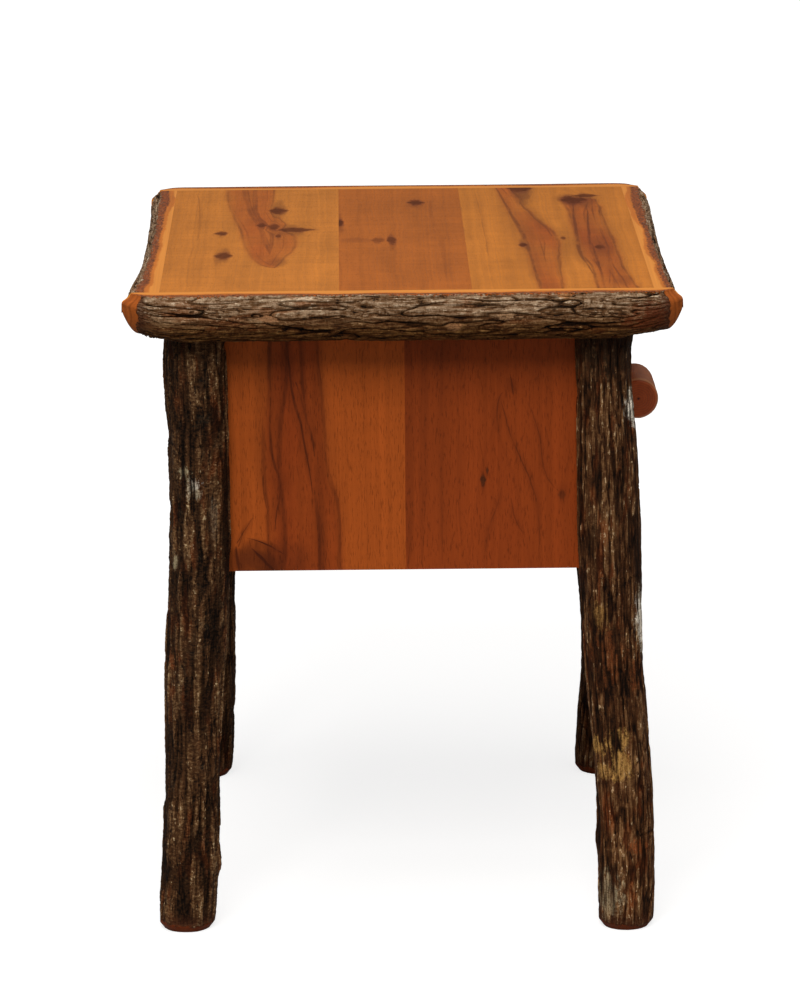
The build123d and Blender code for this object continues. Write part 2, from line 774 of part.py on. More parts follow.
# ---------------------------------------------------------------- write the parts
os.makedirs("parts", exist_ok=True)
for name, shape in parts.items():
    shapes = shape if isinstance(shape, list) else [shape]
    solids = [solid for one in shapes for solid in one.solids()]
    whole = solids[0] if len(solids) == 1 else Compound(children=solids)
    whole.label = name
    export_step(whole, os.path.join("parts", name + ".step"))
print(len(parts), "parts")
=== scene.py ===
import math

import bmesh
import bpy
import numpy as np
from mathutils import Matrix, Vector
from mathutils.bvhtree import BVHTree


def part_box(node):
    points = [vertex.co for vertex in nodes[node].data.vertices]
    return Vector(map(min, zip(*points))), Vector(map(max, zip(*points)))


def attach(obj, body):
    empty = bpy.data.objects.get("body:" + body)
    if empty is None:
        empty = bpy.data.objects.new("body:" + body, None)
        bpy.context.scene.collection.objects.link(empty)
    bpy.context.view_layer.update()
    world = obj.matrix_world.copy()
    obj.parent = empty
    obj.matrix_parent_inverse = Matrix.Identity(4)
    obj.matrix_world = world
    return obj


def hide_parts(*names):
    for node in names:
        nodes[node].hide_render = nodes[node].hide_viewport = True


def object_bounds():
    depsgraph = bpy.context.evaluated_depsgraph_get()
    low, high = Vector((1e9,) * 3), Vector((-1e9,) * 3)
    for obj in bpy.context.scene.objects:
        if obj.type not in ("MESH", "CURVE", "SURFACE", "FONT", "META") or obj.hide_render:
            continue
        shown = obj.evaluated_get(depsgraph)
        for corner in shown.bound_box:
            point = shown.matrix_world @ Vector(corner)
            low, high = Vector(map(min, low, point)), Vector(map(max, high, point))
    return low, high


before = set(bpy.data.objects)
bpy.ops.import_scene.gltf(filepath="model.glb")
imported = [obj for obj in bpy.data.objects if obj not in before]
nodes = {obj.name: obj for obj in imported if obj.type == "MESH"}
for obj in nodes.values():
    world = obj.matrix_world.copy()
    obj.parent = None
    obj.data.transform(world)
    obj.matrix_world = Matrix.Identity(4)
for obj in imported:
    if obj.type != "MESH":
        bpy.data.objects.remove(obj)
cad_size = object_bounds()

MM = 0.001
TURN = 2 * math.pi

# ---------------------------------------------------------------- places that the frame gives
top_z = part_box("top_board_middle")[1].z
board_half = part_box("top_board_middle")[1].x
panel_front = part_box("top_board_front")[0].y
panel_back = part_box("top_board_back")[1].y
case_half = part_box("side_board_right_back")[1].x
case_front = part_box("side_board_right_front")[0].y
case_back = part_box("side_board_right_back")[1].y
case_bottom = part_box("side_board_right_back")[0].z


# ---------------------------------------------------------------- shader maths
class Value:
    """A socket of a finish. The operators of an expression add the Math nodes that work it out."""

    def __init__(self, finish, socket):
        self.finish = finish
        self.socket = socket

    def __add__(self, other):
        return self.finish.maths("ADD", self, other)

    def __sub__(self, other):
        return self.finish.maths("SUBTRACT", self, other)

    def __rsub__(self, other):
        return self.finish.maths("SUBTRACT", other, self)

    def __mul__(self, other):
        return self.finish.maths("MULTIPLY", self, other)

    def __truediv__(self, other):
        return self.finish.maths("DIVIDE", self, other)

    __radd__ = __add__
    __rmul__ = __mul__


class Finish:
    """A material, or the world's light, with short ways to add its nodes. A pattern's grain has an axis."""

    def __init__(self, name, along=None, holder=None):
        self.material = holder or bpy.data.materials.new(name)
        self.material.use_nodes = True
        self.tree = self.material.node_tree
        self.tree.nodes.clear()
        self.along = along
        self.place = self.node("ShaderNodeTexCoord", output="Object")

    def node(self, kind, settings=None, inputs=None, output=0):
        """A node of any kind: its settings first, then the values or links of its sockets."""
        made = self.tree.nodes.new(kind)
        for name, value in (settings or {}).items():
            if name == "points":
                self.set_curve(made, value)
            else:
                setattr(made, name, value)
        for name, value in (inputs or {}).items():
            if isinstance(value, Value):
                self.tree.links.new(value.socket, made.inputs[name])
            else:
                made.inputs[name].default_value = value
        return Value(self, made.outputs[output]) if made.outputs else None

    @staticmethod
    def set_curve(made, points):
        """The points of a curve node, which starts with one at each end."""
        curve = made.mapping.curves[0]
        for x, y in points[1:-1]:
            curve.points.new(x, y)
        for point, (x, y) in zip(curve.points, points):
            point.location = (x, y)
        made.mapping.update()

    def maths(self, operation, *values):
        return self.node("ShaderNodeMath", {"operation": operation}, dict(enumerate(values)))

    def smaller(self, one, other):
        return self.maths("MINIMUM", one, other)

    def larger(self, one, other):
        return self.maths("MAXIMUM", one, other)

    def size(self, value):
        return self.maths("ABSOLUTE", value)

    def fraction(self, value):
        return self.maths("FRACT", value)

    def vector(self, operation, *values, output=0):
        return self.node("ShaderNodeVectorMath", {"operation": operation}, dict(enumerate(values)), output)

    def part(self, axis):
        """One coordinate of a point on the piece, in metres in the table's frame."""
        return self.node("ShaderNodeSeparateXYZ", inputs={0: self.place}, output="XYZ".index(axis))

    def attribute(self, name):
        return self.node("ShaderNodeAttribute", {"attribute_name": name}, output="Fac")

    def ramp(self, value, low, high):
        """0 below low and 1 above high, smooth between them; turned round where high is under low."""
        turned_round = high < low
        low, high = min(low, high), max(low, high)
        ends = {3: 1.0, 4: 0.0} if turned_round else {3: 0.0, 4: 1.0}
        return self.node("ShaderNodeMapRange", {"interpolation_type": "SMOOTHSTEP"},
                         {0: value, 1: low, 2: high, **ends})

    def grain(self, fine, long):
        """Cells per metre of a pattern that is stretched along the grain."""
        return tuple(long if axis == self.along else fine for axis in "XYZ")

    def noise(self, scale, detail=2.0, rough=0.5, seed=0.0):
        """Smooth noise from 0 to 1. The scale is its cells per metre, one number or along X, Y and Z."""
        cells = scale if isinstance(scale, tuple) else (scale, scale, scale)
        spot = self.vector("MULTIPLY", self.place, cells)
        return self.node("ShaderNodeTexNoise", {"noise_dimensions": "4D"},
                         {"Vector": spot, "W": seed, "Scale": 1.0, "Detail": detail, "Roughness": rough})

    def lines(self, value, seed=0.0):
        """Noise from 0 to 1 along a value, one cell for each unit of it."""
        return self.node("ShaderNodeTexNoise", {"noise_dimensions": "1D"},
                         {"W": value + seed * 17.3, "Scale": 1.0, "Detail": 2.0, "Roughness": 0.55})

    def drawn(self, value, points):
        """A curve drawn through (value, result) points, in the order of their values."""
        xs, ys = zip(*points)
        left, wide = min(xs), max(xs) - min(xs)
        low, tall = min(ys), max(max(ys) - min(ys), 1e-6)
        shares = [((x - left) / wide, (y - low) / tall) for x, y in points]
        curve = self.node("ShaderNodeFloatCurve", {"points": shares}, {"Value": (value - left) / wide})
        return curve * tall + low

    def blend(self, factor, one, other, mode="MIX"):
        """A colour between two others."""
        return self.node("ShaderNodeMix", {"data_type": "RGBA", "blend_type": mode},
                         {0: factor, 6: one, 7: other}, output=2)

    def tint(self, colour, shade):
        """A colour made lighter or darker by a varying shade, where 1 leaves it as it is."""
        shades = self.node("ShaderNodeCombineXYZ", inputs={0: shade, 1: shade, 2: shade})
        return self.vector("MULTIPLY", colour if isinstance(colour, Value) else colour[:3], shades)

    def surface(self, colour, roughness, relief=None, relief_depth=0.001, **fixed):
        """Ends the finish with its shader. Fixed values are set on its sockets."""
        inputs = {"Base Color": colour, "Roughness": roughness, **fixed}
        if relief:
            heights = {"Height": relief, "Distance": relief_depth}
            inputs["Normal"] = self.node("ShaderNodeBump", inputs=heights)
        self.show(self.node("ShaderNodeBsdfPrincipled", inputs=inputs))

    def show(self, shader, kind="ShaderNodeOutputMaterial"):
        """Links a shader to the output."""
        self.node(kind, inputs={0: shader})


def tone(red, green, blue):
    """A linear colour."""
    return (red, green, blue, 1.0)


# ---------------------------------------------------------------- hickory boards
HEART_LINE = tone(0.075, 0.014, 0.004)
KNOT_DARK = tone(0.085, 0.021, 0.006)
KNOT_RIM = tone(0.135, 0.026, 0.006)
LACQUER_ROUGHNESS = 0.40
LACQUER_SHINE = 0.10


def hickory(name, along, across, sap, heart, flames=(), streaks=(), knots=(), smears=(), curl=0.0,
            pore_depth=0.34, line_depth=0.9, cloudy=0.30, seed=0.0):
    """A lacquered hickory board, with its grain along one axis.

    A flame is a figure of heartwood between two drawn edges, with growth lines that follow the edges. A
    streak is a dark stroke, pointed at both ends, a knot a dark eye that the grain flows round, and a smear a
    soft stain. Places are in mm.
    """
    f = Finish(name, along)
    run = f.part(along) * 1000
    side = f.part(across) * 1000

    drift = f.noise(f.grain(20.0, 5.0), 2.0, seed=seed) - 0.5
    wander = f.noise(f.grain(80.0, 14.0), 3.0, 0.6, seed=seed + 3) - 0.5
    sheer = side + drift * 10 + wander * 2.5
    fleck = f.noise(130.0, 3.0, 0.7, seed=seed + 5)
    eye = rim = halo = 0.0
    for knot_run, knot_side, knot_long, knot_wide, dark in knots:
        d_run = (run - knot_run) / knot_long
        d_side = (side - knot_side) / knot_wide
        away = f.size(d_run) + d_side * d_side
        flow = d_side / (f.size(d_side) + 0.5)
        sheer = sheer - flow * f.ramp(away, 3.4, 0.2) * (knot_wide * 0.8)
        ragged = away + (fleck - 0.5) * 1.5 + wander * 1.2
        eye = f.larger(eye, f.ramp(ragged, 1.10, 0.45) * dark)
        rim = f.larger(rim, f.ramp(ragged, 1.45, 0.75) * dark)
        reach = f.maths("SQRT", d_run * d_run * 0.16 + d_side * d_side)
        halo = f.larger(halo, f.ramp(reach + drift * 3.0 + wander * 2.4, 1.15, 0.25) * dark)

    pores = f.noise(f.grain(880.0, 130.0), 2.0, 0.6, seed=seed + 13)
    pore = f.ramp(pores, 0.53, 0.68)
    fine_line = f.lines(sheer * 0.62 + wander * 3.0, seed + 7)
    medium_line = f.lines(sheer * 0.19 + wander * 1.5, seed + 9)
    band = f.lines(sheer * 0.045, seed + 11)
    cloud = f.noise(f.grain(30.0, 9.0), 3.0, 0.6, seed=seed + 17)
    shade = 0.61 - cloudy / 2 + band * 0.30 + medium_line * 0.26 + fine_line * 0.24 + cloud * cloudy
    colour = f.tint(sap, shade)

    flesh = lines = 0.0
    for one_edge, other_edge, strength, spacing in flames:
        one = f.drawn(run, one_edge)
        other = f.drawn(run, other_edge)
        depth = f.smaller(one - sheer, sheer - other)
        skewed = depth + sheer * 0.16 + wander * 4.0
        growth = f.lines(skewed / spacing, seed + spacing)
        patchy = f.ramp(f.noise(f.grain(34.0, 8.0), 3.0, 0.6, seed=seed + spacing), 0.36, 0.62)
        inside = f.ramp(depth + wander * 9, -5.0, 6.0)
        flesh = f.larger(flesh, inside * (strength * (0.66 + drift * 1.2)))
        rings = f.ramp(growth, 0.50, 0.72) * (0.25 + patchy * 0.75)
        edge = f.ramp(f.size(depth - 1.5 + wander * 6.0), 2.6, 0.0) * (0.35 + patchy * 0.65)
        lines = f.larger(lines, f.larger(rings * inside, edge * 0.8) * (strength * line_depth))
    for points, wide, strength in streaks:
        middle = f.drawn(run, points)
        half = (points[-1][0] - points[0][0]) / 2
        share = (run - (points[0][0] + half)) / half
        spindle = f.larger(1.0 - share * share, 0.0) * wide
        away = f.size(side + wander * 4.0 + drift * 3.0 - middle)
        broken = f.ramp(f.noise(f.grain(60.0, 12.0), 3.0, 0.6, seed=seed + wide), 0.34, 0.54)
        core = f.ramp(away, 1.0, 0.0) * f.ramp(spindle, 0.0, 0.5)
        core = f.larger(core, f.ramp(away / (spindle + 0.01), 1.0, 0.15)) * f.ramp(spindle, 0.0, 0.4)
        soft = f.ramp(away / (spindle + 0.01), 4.5, 0.6) * 0.34 * f.ramp(spindle, 0.0, wide * 0.6)
        lines = f.larger(lines, f.larger(core * (0.35 + broken * 0.65), soft) * strength)

    mottle = f.noise(f.grain(70.0, 40.0), 3.0, 0.6, seed=seed + 19)
    colour = f.blend(flesh, colour, f.tint(heart, 0.30 + band * 0.34 + medium_line * 0.36 + mottle * 0.80))
    for smear_run, smear_side, smear_long, smear_wide, strength in smears:
        d_run = (run - smear_run) / smear_long
        d_side = (side - smear_side) / smear_wide
        soft = f.ramp(d_run * d_run + d_side * d_side + drift * 2.0 + wander * 1.6, 1.2, 0.0)
        colour = f.blend(soft * strength, colour, HEART_LINE)
    colour = f.blend(halo * 0.48, colour, HEART_LINE)
    colour = f.blend(lines, colour, HEART_LINE)
    if curl:
        ripple = f.noise(f.grain(22.0, 150.0), 2.0, seed=seed + 23)
        colour = f.tint(colour, 1.0 + (ripple - 0.5) * curl)
    colour = f.blend(rim * 0.7, colour, KNOT_RIM)
    colour = f.blend(eye, colour, f.tint(KNOT_DARK, 0.1 + fleck * 1.5 + medium_line * 0.5))
    colour = f.tint(colour, 1.0 - pore * pore_depth)
    relief = fine_line * 0.25 - pore * 0.6 - eye * 0.6
    roughness = LACQUER_ROUGHNESS + fine_line * 0.10 + eye * 0.2
    f.surface(colour, roughness, relief, 0.00012, **{"Specular IOR Level": LACQUER_SHINE})
    return f


# ---------------------------------------------------------------- bark
# SHADED_SIDE is multiplied into a log's lower side as painted shade.
SHADED_SIDE = tone(1.0, 0.64, 0.27)
MOSS = tone(0.32, 0.28, 0.18)
INNER_BARK = tone(0.300, 0.066, 0.004)
CAMBIUM = tone(0.58, 0.160, 0.010)
SAPWOOD = tone(0.72, 0.258, 0.034)
SCORCHED = tone(0.070, 0.020, 0.008)
SANDED_DARK = tone(0.20, 0.040, 0.010)
SANDED_RED = tone(0.33, 0.082, 0.015)
BARK_ROUGHNESS = 0.48


def bark(name, along, tones, seed=0.0, patches=(), painted_highlight_share=0.6, moss=0.0, bare=SANDED_DARK, bare_reach=9.0,
         painted_light_heights=None, scaly=0.5, shine=0.10, crack=0.55, foot_pale=0.0):
    """Ridged bark under a thin clear coat, with the wood that shows where it is planed, sawn or sanded.

    The tones are those of its valleys, its body, its crests, its painted highlights and its rusty places. The
    mesh gives how deep a furrow is, how high a bead of bark stands, and in mm how far a point lies inside
    the planed flat and how far it is from a sanded end. A patch is lichen, a stain, a scraped place or a
    painted shadow: its place in mm, its reaches across and along the pole, its colour and strength. Scaly
    bark has short cross marks where stringy bark has fibres. The painted highlight share says how much of
    the highest bark is painted as highlights. A crack says how dark the deepest furrows are, their own
    darker colour with painted shade in them. Painted light heights are where a log's bark turns from
    painted shade below to painted top light above, and a pale foot says how much lighter the bark gets
    towards the floor.
    """
    f = Finish(name, along)
    valley, body, crest, painted_highlight_tone, rust = tones

    deep = f.attribute("furrow")
    bead = f.attribute("bead")
    planed = f.attribute("planed")
    end = f.attribute("end")
    strands = f.noise(f.grain(440.0, 36.0), 2.0, 0.62, seed=seed)
    scales = f.noise(f.grain(300.0, 520.0), 2.0, 0.62, seed=seed + 5)
    crust = f.noise(560.0, 3.0, 0.7, seed=seed + 2)
    zones = f.noise(f.grain(34.0, 12.0), 3.0, 0.6, seed=seed + 9)
    ridges = f.noise(f.grain(150.0, 15.0), 2.0, 0.55, seed=seed + 1)
    crease = f.ramp(f.size(ridges - 0.5), 0.022, 0.004)

    texture = strands * (1.0 - scaly) * 2.6 + scales * scaly * 2.6 + crust * 1.1 - 1.85
    height = 0.56 - deep * 0.42 + (bead - 0.5) * 0.40 + texture * 0.72 + (zones - 0.5) * 0.7 - crease * 0.35
    # Low bark is blended towards the valley tone: the furrows' own darker colour, with painted shade in them.
    colour = f.blend(f.ramp(height, -0.12, 0.30), valley, body)
    warm = f.ramp(f.noise(f.grain(95.0, 24.0), 3.0, 0.6, seed=seed + 13), 0.50, 0.62)
    warm = warm * f.ramp(zones, 0.42, 0.56)
    colour = f.blend(warm * 0.85, colour, f.tint(rust, 0.3 + f.ramp(height, 0.0, 1.0) * 1.1))
    colour = f.blend(f.ramp(height, 0.28, 0.86) * (1.0 - warm * 0.5), colour, crest)
    speck = f.noise(f.grain(420.0, 170.0), 2.0, 0.6, seed=seed + 15)
    # Painted highlight: light specks painted on the highest bark, where a clear coat would catch the lamps.
    colour = f.blend(f.ramp(height + (speck - 0.5) * 2.6, 0.84, 1.08) * painted_highlight_share, colour, painted_highlight_tone)
    # Painted light and shade: a log's bark is tinted lighter towards its top as painted top light, and warmer
    # and darker below as painted shade.
    if painted_light_heights:
        low, high = painted_light_heights
        colour = f.tint(colour, 0.55 + f.ramp(f.part("Z"), low, high) * 0.60)
        under = f.blend(1.0, colour, SHADED_SIDE, mode="MULTIPLY")
        colour = f.blend(f.ramp(f.part("Z"), high, low), colour, under)
    if moss:
        damp = f.ramp(f.noise(60.0, 4.0, 0.7, seed=seed + 31), 0.54, 0.66)
        colour = f.blend(damp * f.ramp(crust, 0.42, 0.58) * moss, colour, MOSS)
    granules = 0.28 + f.ramp(crust + strands * 0.7, 0.72, 0.96) * 0.72
    for place, reach, long_reach, growth, strength in patches:
        reaches = f.grain(1 / (MM * reach), 1 / (MM * long_reach))
        offset = f.vector("SUBTRACT", f.place, tuple(value * MM for value in place))
        away = f.vector("LENGTH", f.vector("MULTIPLY", offset, reaches), output="Value")
        spread = f.noise(f.grain(210.0, 120.0), 4.0, 0.8, seed=seed + reach)
        cover = f.ramp(away + (spread - 0.5) * 3.4, 1.05, 0.55) * f.ramp(deep, 0.95, 0.4)
        colour = f.blend(cover * granules * strength, colour, growth)
    # The bark is made lighter towards the floor.
    if foot_pale:
        colour = f.tint(colour, 1.0 + f.ramp(f.part("Z"), 0.36, 0.04) * foot_pale)
    # The deepest furrows are darkened further: their own darker colour and painted shade in the crevices.
    colour = f.tint(colour, 1.0 - f.ramp(deep, 0.50, 1.0) * crack)

    wobble = f.noise(150.0, 4.0, 0.7, seed=seed + 21) - 0.5
    slow = f.noise(24.0, 2.0, 0.5, seed=seed + 27) - 0.5
    long_wave = f.noise(7.0, 1.0, 0.5, seed=seed + 29) - 0.5
    lace = f.noise(330.0, 2.0, 0.6, seed=seed + 33)
    cut = planed + wobble * 5.0 + slow * 6.0 + (lace - 0.5) * 9.0
    rings = f.noise(f.grain(480.0, 7.0), 2.0, seed=seed + 4)
    inner_bark = f.tint(INNER_BARK, 0.10 + f.ramp(crust, 0.36, 0.60) * 1.05)
    # Painted highlight: crest-coloured specks painted on the inner bark near the planed edge.
    inner_bark = f.blend(f.ramp(lace, 0.60, 0.68) * f.ramp(planed, 7.0, 2.0) * 0.7, inner_bark, crest)
    cambium = f.tint(CAMBIUM, 0.62 + rings * 0.6 + (zones - 0.5) * 0.6)
    sapwood = f.tint(SAPWOOD, 0.76 + rings * 0.42)
    drifting = wobble * 4.0 + slow * 6.0 + long_wave * 16.0
    colour = f.blend(f.ramp(cut, -0.9, 0.3), colour, inner_bark)
    colour = f.blend(f.ramp(planed + drifting + (crust - 0.5) * 9.0, 5.8, 7.2), colour, cambium)
    colour = f.blend(f.ramp(planed + drifting + long_wave * 14.0, 9.5, 11.5), colour, sapwood)

    sanded = end + wobble * 13.0 + slow * 16.0
    bark_side = f.ramp(planed + wobble * 8.0, 4.0, 1.0)
    scorched = f.ramp(sanded, bare_reach + 13.0, bare_reach) * bark_side
    colour = f.blend(scorched * 0.7, colour, f.tint(SCORCHED, 0.3 + crust * 1.2))
    bare_end = f.ramp(sanded, bare_reach + 0.6, bare_reach - 1.0) * bark_side
    curl = f.lines(end * 0.42 + slow * 9.0, seed + 8)
    colour = f.blend(bare_end, colour, f.tint(bare, 0.25 + rings * 0.6 + curl * 0.9))

    smooth = f.larger(f.ramp(cut, -0.9, 0.3), bare_end)
    roughness = BARK_ROUGHNESS - smooth * 0.18 + deep * 0.3
    f.surface(colour, roughness, height * (1.0 - smooth * 0.95), 0.0015, **{"Specular IOR Level": shine})
    return f


# ---------------------------------------------------------------- peeled branch, inside woods and metals
BRANCH_SKIN = tone(0.74, 0.215, 0.060)
BRANCH_WORN = tone(0.78, 0.40, 0.20)
BRANCH_HEART = tone(0.66, 0.135, 0.030)
BRANCH_RIM = tone(0.90, 0.46, 0.22)
VENEER = tone(0.62, 0.44, 0.26)
PALE_PLY = tone(0.50, 0.34, 0.19)
BROWN_PLY = tone(0.30, 0.19, 0.10)
BALL_STEEL = tone(0.78, 0.78, 0.76)


def peeled_branch():
    """The handle's wood: red-brown under lacquer, with growth rings on its sawn ends."""
    f = Finish("peeled_branch", "X")
    low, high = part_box("drawer_handle")
    centre = (low + high) / 2
    x, y, z = (f.part(axis) - middle for axis, middle in zip("XYZ", centre))
    out = f.maths("SQRT", y * y + z * z) * 1000
    wander = f.noise(f.grain(160.0, 40.0), 3.0, 0.6) - 0.5
    fibres = f.noise(f.grain(700.0, 30.0), 3.0, 0.6)
    end = f.ramp(f.size(x) * 1000, 37.0, 38.2)
    ring_width = 2.3
    rings = f.ramp(f.fraction((out + wander * 2.5) / ring_width), 0.4, 1.0)
    peel = f.tint(BRANCH_SKIN, 0.65 + fibres * 0.5 + wander * 0.5)
    worn = f.ramp(f.noise(f.grain(190.0, 60.0), 3.0, 0.6, seed=4.0), 0.56, 0.68)
    peel = f.blend(worn * 0.6, peel, BRANCH_WORN)
    heart = f.tint(BRANCH_HEART, 1.0 - rings * 0.18 + wander * 0.5)
    colour = f.blend(end, peel, heart)
    rim = f.ramp(out, 17.6, 18.8) * f.ramp(f.size(x) * 1000, 35.5, 37.5)
    colour = f.blend(rim * 0.8, colour, BRANCH_RIM)
    pith = f.ramp(out + wander * 2, 1.8, 0.6) * end
    colour = f.blend(pith, colour, KNOT_DARK)
    f.surface(colour, 0.42 + fibres * 0.1, fibres - rings * end * 0.4, 0.0003, **{"Specular IOR Level": 0.35})
    return f


def plain_wood(name, along, colour, seed):
    """Sealed wood that isn't seen from outside."""
    f = Finish(name, along)
    contrast = 0.25
    lines = f.noise(f.grain(260.0, 5.0), 3.0, 0.6, seed=seed)
    band = f.noise(f.grain(45.0, 2.0), 2.0, seed=seed + 2)
    wood = f.tint(colour, 1.0 - contrast / 2 + lines * contrast * 0.5 + band * contrast * 0.6)
    f.surface(wood, 0.5 + lines * 0.12, lines, 0.00015, **{"Specular IOR Level": 0.3})
    return f


def plywood():
    """The drawer's bottom: face veneer above and below, and thin crossed layers along its edges."""
    f = Finish("plywood", "X")
    low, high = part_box("drawer_bottom")
    veneer_thickness = 0.0004
    layers = f.fraction((f.part("Z") - low.z) / ((high.z - low.z) / 2.5))
    face = f.noise(f.grain(190.0, 4.0), 3.0, 0.6)
    under_top = f.ramp(f.part("Z"), high.z, high.z - veneer_thickness)
    edge = f.smaller(under_top, f.ramp(f.part("Z"), low.z, low.z + veneer_thickness))
    veneer = f.tint(VENEER, 0.82 + face * 0.34)
    core = f.blend(f.ramp(layers, 0.45, 0.55), PALE_PLY, BROWN_PLY)
    f.surface(f.blend(edge, veneer, core), 0.55 + face * 0.1, face, 0.0001)
    return f


def plated_steel(name, colour, along, rough, seed=0.0):
    """Plated sheet or wire steel, with fine drawing lines and dull spots."""
    f = Finish(name, along)
    drawn = f.noise(f.grain(1400.0, 12.0), 2.0, seed=seed)
    spots = f.noise(90.0, 3.0, 0.6, seed=seed + 3)
    metal = f.tint(colour, 0.88 + drawn * 0.14 + spots * 0.10)
    f.surface(metal, rough + spots * 0.16 + drawn * 0.06, drawn, 0.00003, Metallic=1.0)
    return f


def polished_steel():
    """Bearing balls under a film of grease."""
    f = Finish("polished_steel")
    film = f.noise(700.0, 2.0)
    f.surface(f.tint(BALL_STEEL, 0.90 + film * 0.12), 0.12 + film * 0.12, Metallic=1.0)
    return f


# ---------------------------------------------------------------- mesh code for poles and split logs
def fade(share):
    """0 to 1 with level ends."""
    share = np.clip(share, 0.0, 1.0)
    return share * share * (3.0 - 2.0 * share)


def rise(value, low, high):
    """0 below low, 1 above high and smooth between, for arrays."""
    return fade((value - low) / (high - low))


def swell(share, run, cells, random):
    """Smooth random ups and downs, about -1 to 1. They close on themselves round the pole in whole cells."""
    u = np.mod(share, 1.0) * cells
    v = run - run.min()
    turns = random.uniform(0, TURN, (cells, int(v.max()) + 3))
    i, j = np.floor(u).astype(int), np.floor(v).astype(int)
    du, dv = u - i, v - j

    def slope(a, b):
        turn = turns[(i + a) % cells, j + b]
        return np.cos(turn) * (du - a) + np.sin(turn) * (dv - b)

    near = slope(0, 0) + (slope(1, 0) - slope(0, 0)) * fade(du)
    far = slope(0, 1) + (slope(1, 1) - slope(0, 1)) * fade(du)
    return 1.5 * (near + (far - near) * fade(dv))


BEAD_WIDE = 0.0038
GRIT_WIDE = 0.0023


def ridged(share, run, girth, style, random):
    """The bark's furrows: how deep a point lies, from 0 to 1, how high its bead is and how far it sinks."""
    wide, long, depth, valley, bead_long = style
    cells = max(6, round(girth / wide))
    lean = swell(share, run / (long * 1.5), max(4, cells // 3), random)
    bent = share + 0.40 * lean / cells
    jog = run / long + 0.35 * swell(share, run / (long * 0.35), cells, random)
    main = np.abs(swell(bent, jog, cells, random))
    second = np.abs(swell(bent, run / (long * 0.45), cells * 2, random))
    cross = np.abs(swell(share, run / (long * 0.22), max(3, cells // 3), random))
    beads = swell(share, run / bead_long, round(girth / BEAD_WIDE), random)
    grit = swell(share, run / (bead_long * 0.55), round(girth / GRIT_WIDE), random)
    vary = np.clip(0.72 + 0.40 * swell(share, run / (long * 0.9), max(4, cells // 2), random), 0.3, 1.0)
    ridge = rise(main, 0.0, valley) * (0.72 + 0.28 * rise(second, 0.0, valley * 0.8))
    ridge = ridge * (1.0 - 0.5 * (1.0 - rise(cross, 0.0, 0.05)) * rise(vary, 0.6, 0.9))
    bead = np.clip(0.5 + 0.45 * beads + 0.25 * grit, 0.0, 1.0)
    sink = depth * ((1.0 - ridge) * vary + 0.20 * (1.0 - bead) + 0.06 * (1.0 - grit))
    return np.clip((1.0 - ridge) * vary * 1.25, 0.0, 1.0), bead, np.maximum(sink, 0.0)


WALL_REACH = 0.002   # a hole's wall lies this near to the piece that fills it
RAY = 0.12           # longer than any pole or log is thick
SPOKES = 15


def surface_finder(node, filler=None):
    """A search tree over a CAD node's surface, without the walls of the holes that a filler's pieces fill."""
    mesh = nodes[node].data
    places = [vertex.co for vertex in mesh.vertices]
    faces = [tuple(face.vertices) for face in mesh.polygons]
    if filler:
        filled = surface_finder(filler)
        walls = [filled.find_nearest(place, WALL_REACH)[0] is not None for place in places]
        faces = [face for face in faces if not all(walls[corner] for corner in face)]
    return BVHTree.FromPolygons(places, faces)


def circle_through(points):
    """The centre and radius of the circle that best fits points in a plane."""
    rows = np.column_stack([2 * points, np.ones(len(points))])
    answer = np.linalg.lstsq(rows, (points ** 2).sum(1), rcond=None)[0]
    centre = answer[:2]
    return centre, math.sqrt(answer[2] + centre @ centre)


class Rings:
    """A CAD solid read in rings across its length, ready for bark.

    The solid lies along one axis; a and b are the axes across it. Every ring has its columns in the same
    directions from a seat point inside the solid, so that edges of the solid fall on columns.
    """

    def __init__(self, node, axis, a, b, filler, cuts):
        self.tree = surface_finder(node, filler)
        self.axis, self.a, self.b, self.cuts = axis, a, b, cuts
        self.points, self.centres, self.radii, self.stations, self.seats = [], [], [], [], []

    def spot(self, station, a, b):
        place = Vector((0, 0, 0))
        place[self.axis], place[self.a], place[self.b] = station, a, b
        return place

    def reach(self, station, seat, angle):
        """Where a ray from the seat leaves the solid; over a hole, where it has crossed all the cuts."""
        way = Vector((0, 0, 0))
        way[self.a], way[self.b] = math.cos(angle), math.sin(angle)
        start = self.spot(station, *seat)
        hit = self.tree.ray_cast(start + way * RAY, -way, RAY)[0]
        if not hit:
            hit = start + way * max((value - start[axis]) / way[axis] for axis, value in self.cuts)
        return hit[self.a], hit[self.b]

    def circle(self, station, seat, middle, half):
        """The circle of the bark's side, measured within a half angle about its middle direction."""
        angles = middle + np.linspace(-half, half, SPOKES)
        return circle_through(np.array([self.reach(station, seat, angle) for angle in angles]))

    def add(self, station, shown, seat, angles, centre, radius):
        """One ring, measured at a station and shown at another a hair away, at an end of the solid."""
        self.points.append([self.reach(station, seat, angle) for angle in angles])
        self.stations.append(shown)
        self.centres.append(centre)
        self.radii.append(radius)
        self.seats.append(seat)

    def places(self, across):
        """The points of all rings in the table's frame, as an array."""
        across = np.asarray(across)
        made = np.zeros((*across.shape[:2], 3))
        made[..., self.axis] = np.array(self.stations)[:, None]
        made[..., self.a] = across[..., 0]
        made[..., self.b] = across[..., 1]
        return made

    def arrays(self):
        """Across-places of all points, and each ring's station, centre and radius, as arrays."""
        return (np.array(self.points), np.array(self.stations), np.array(self.centres), np.array(self.radii))


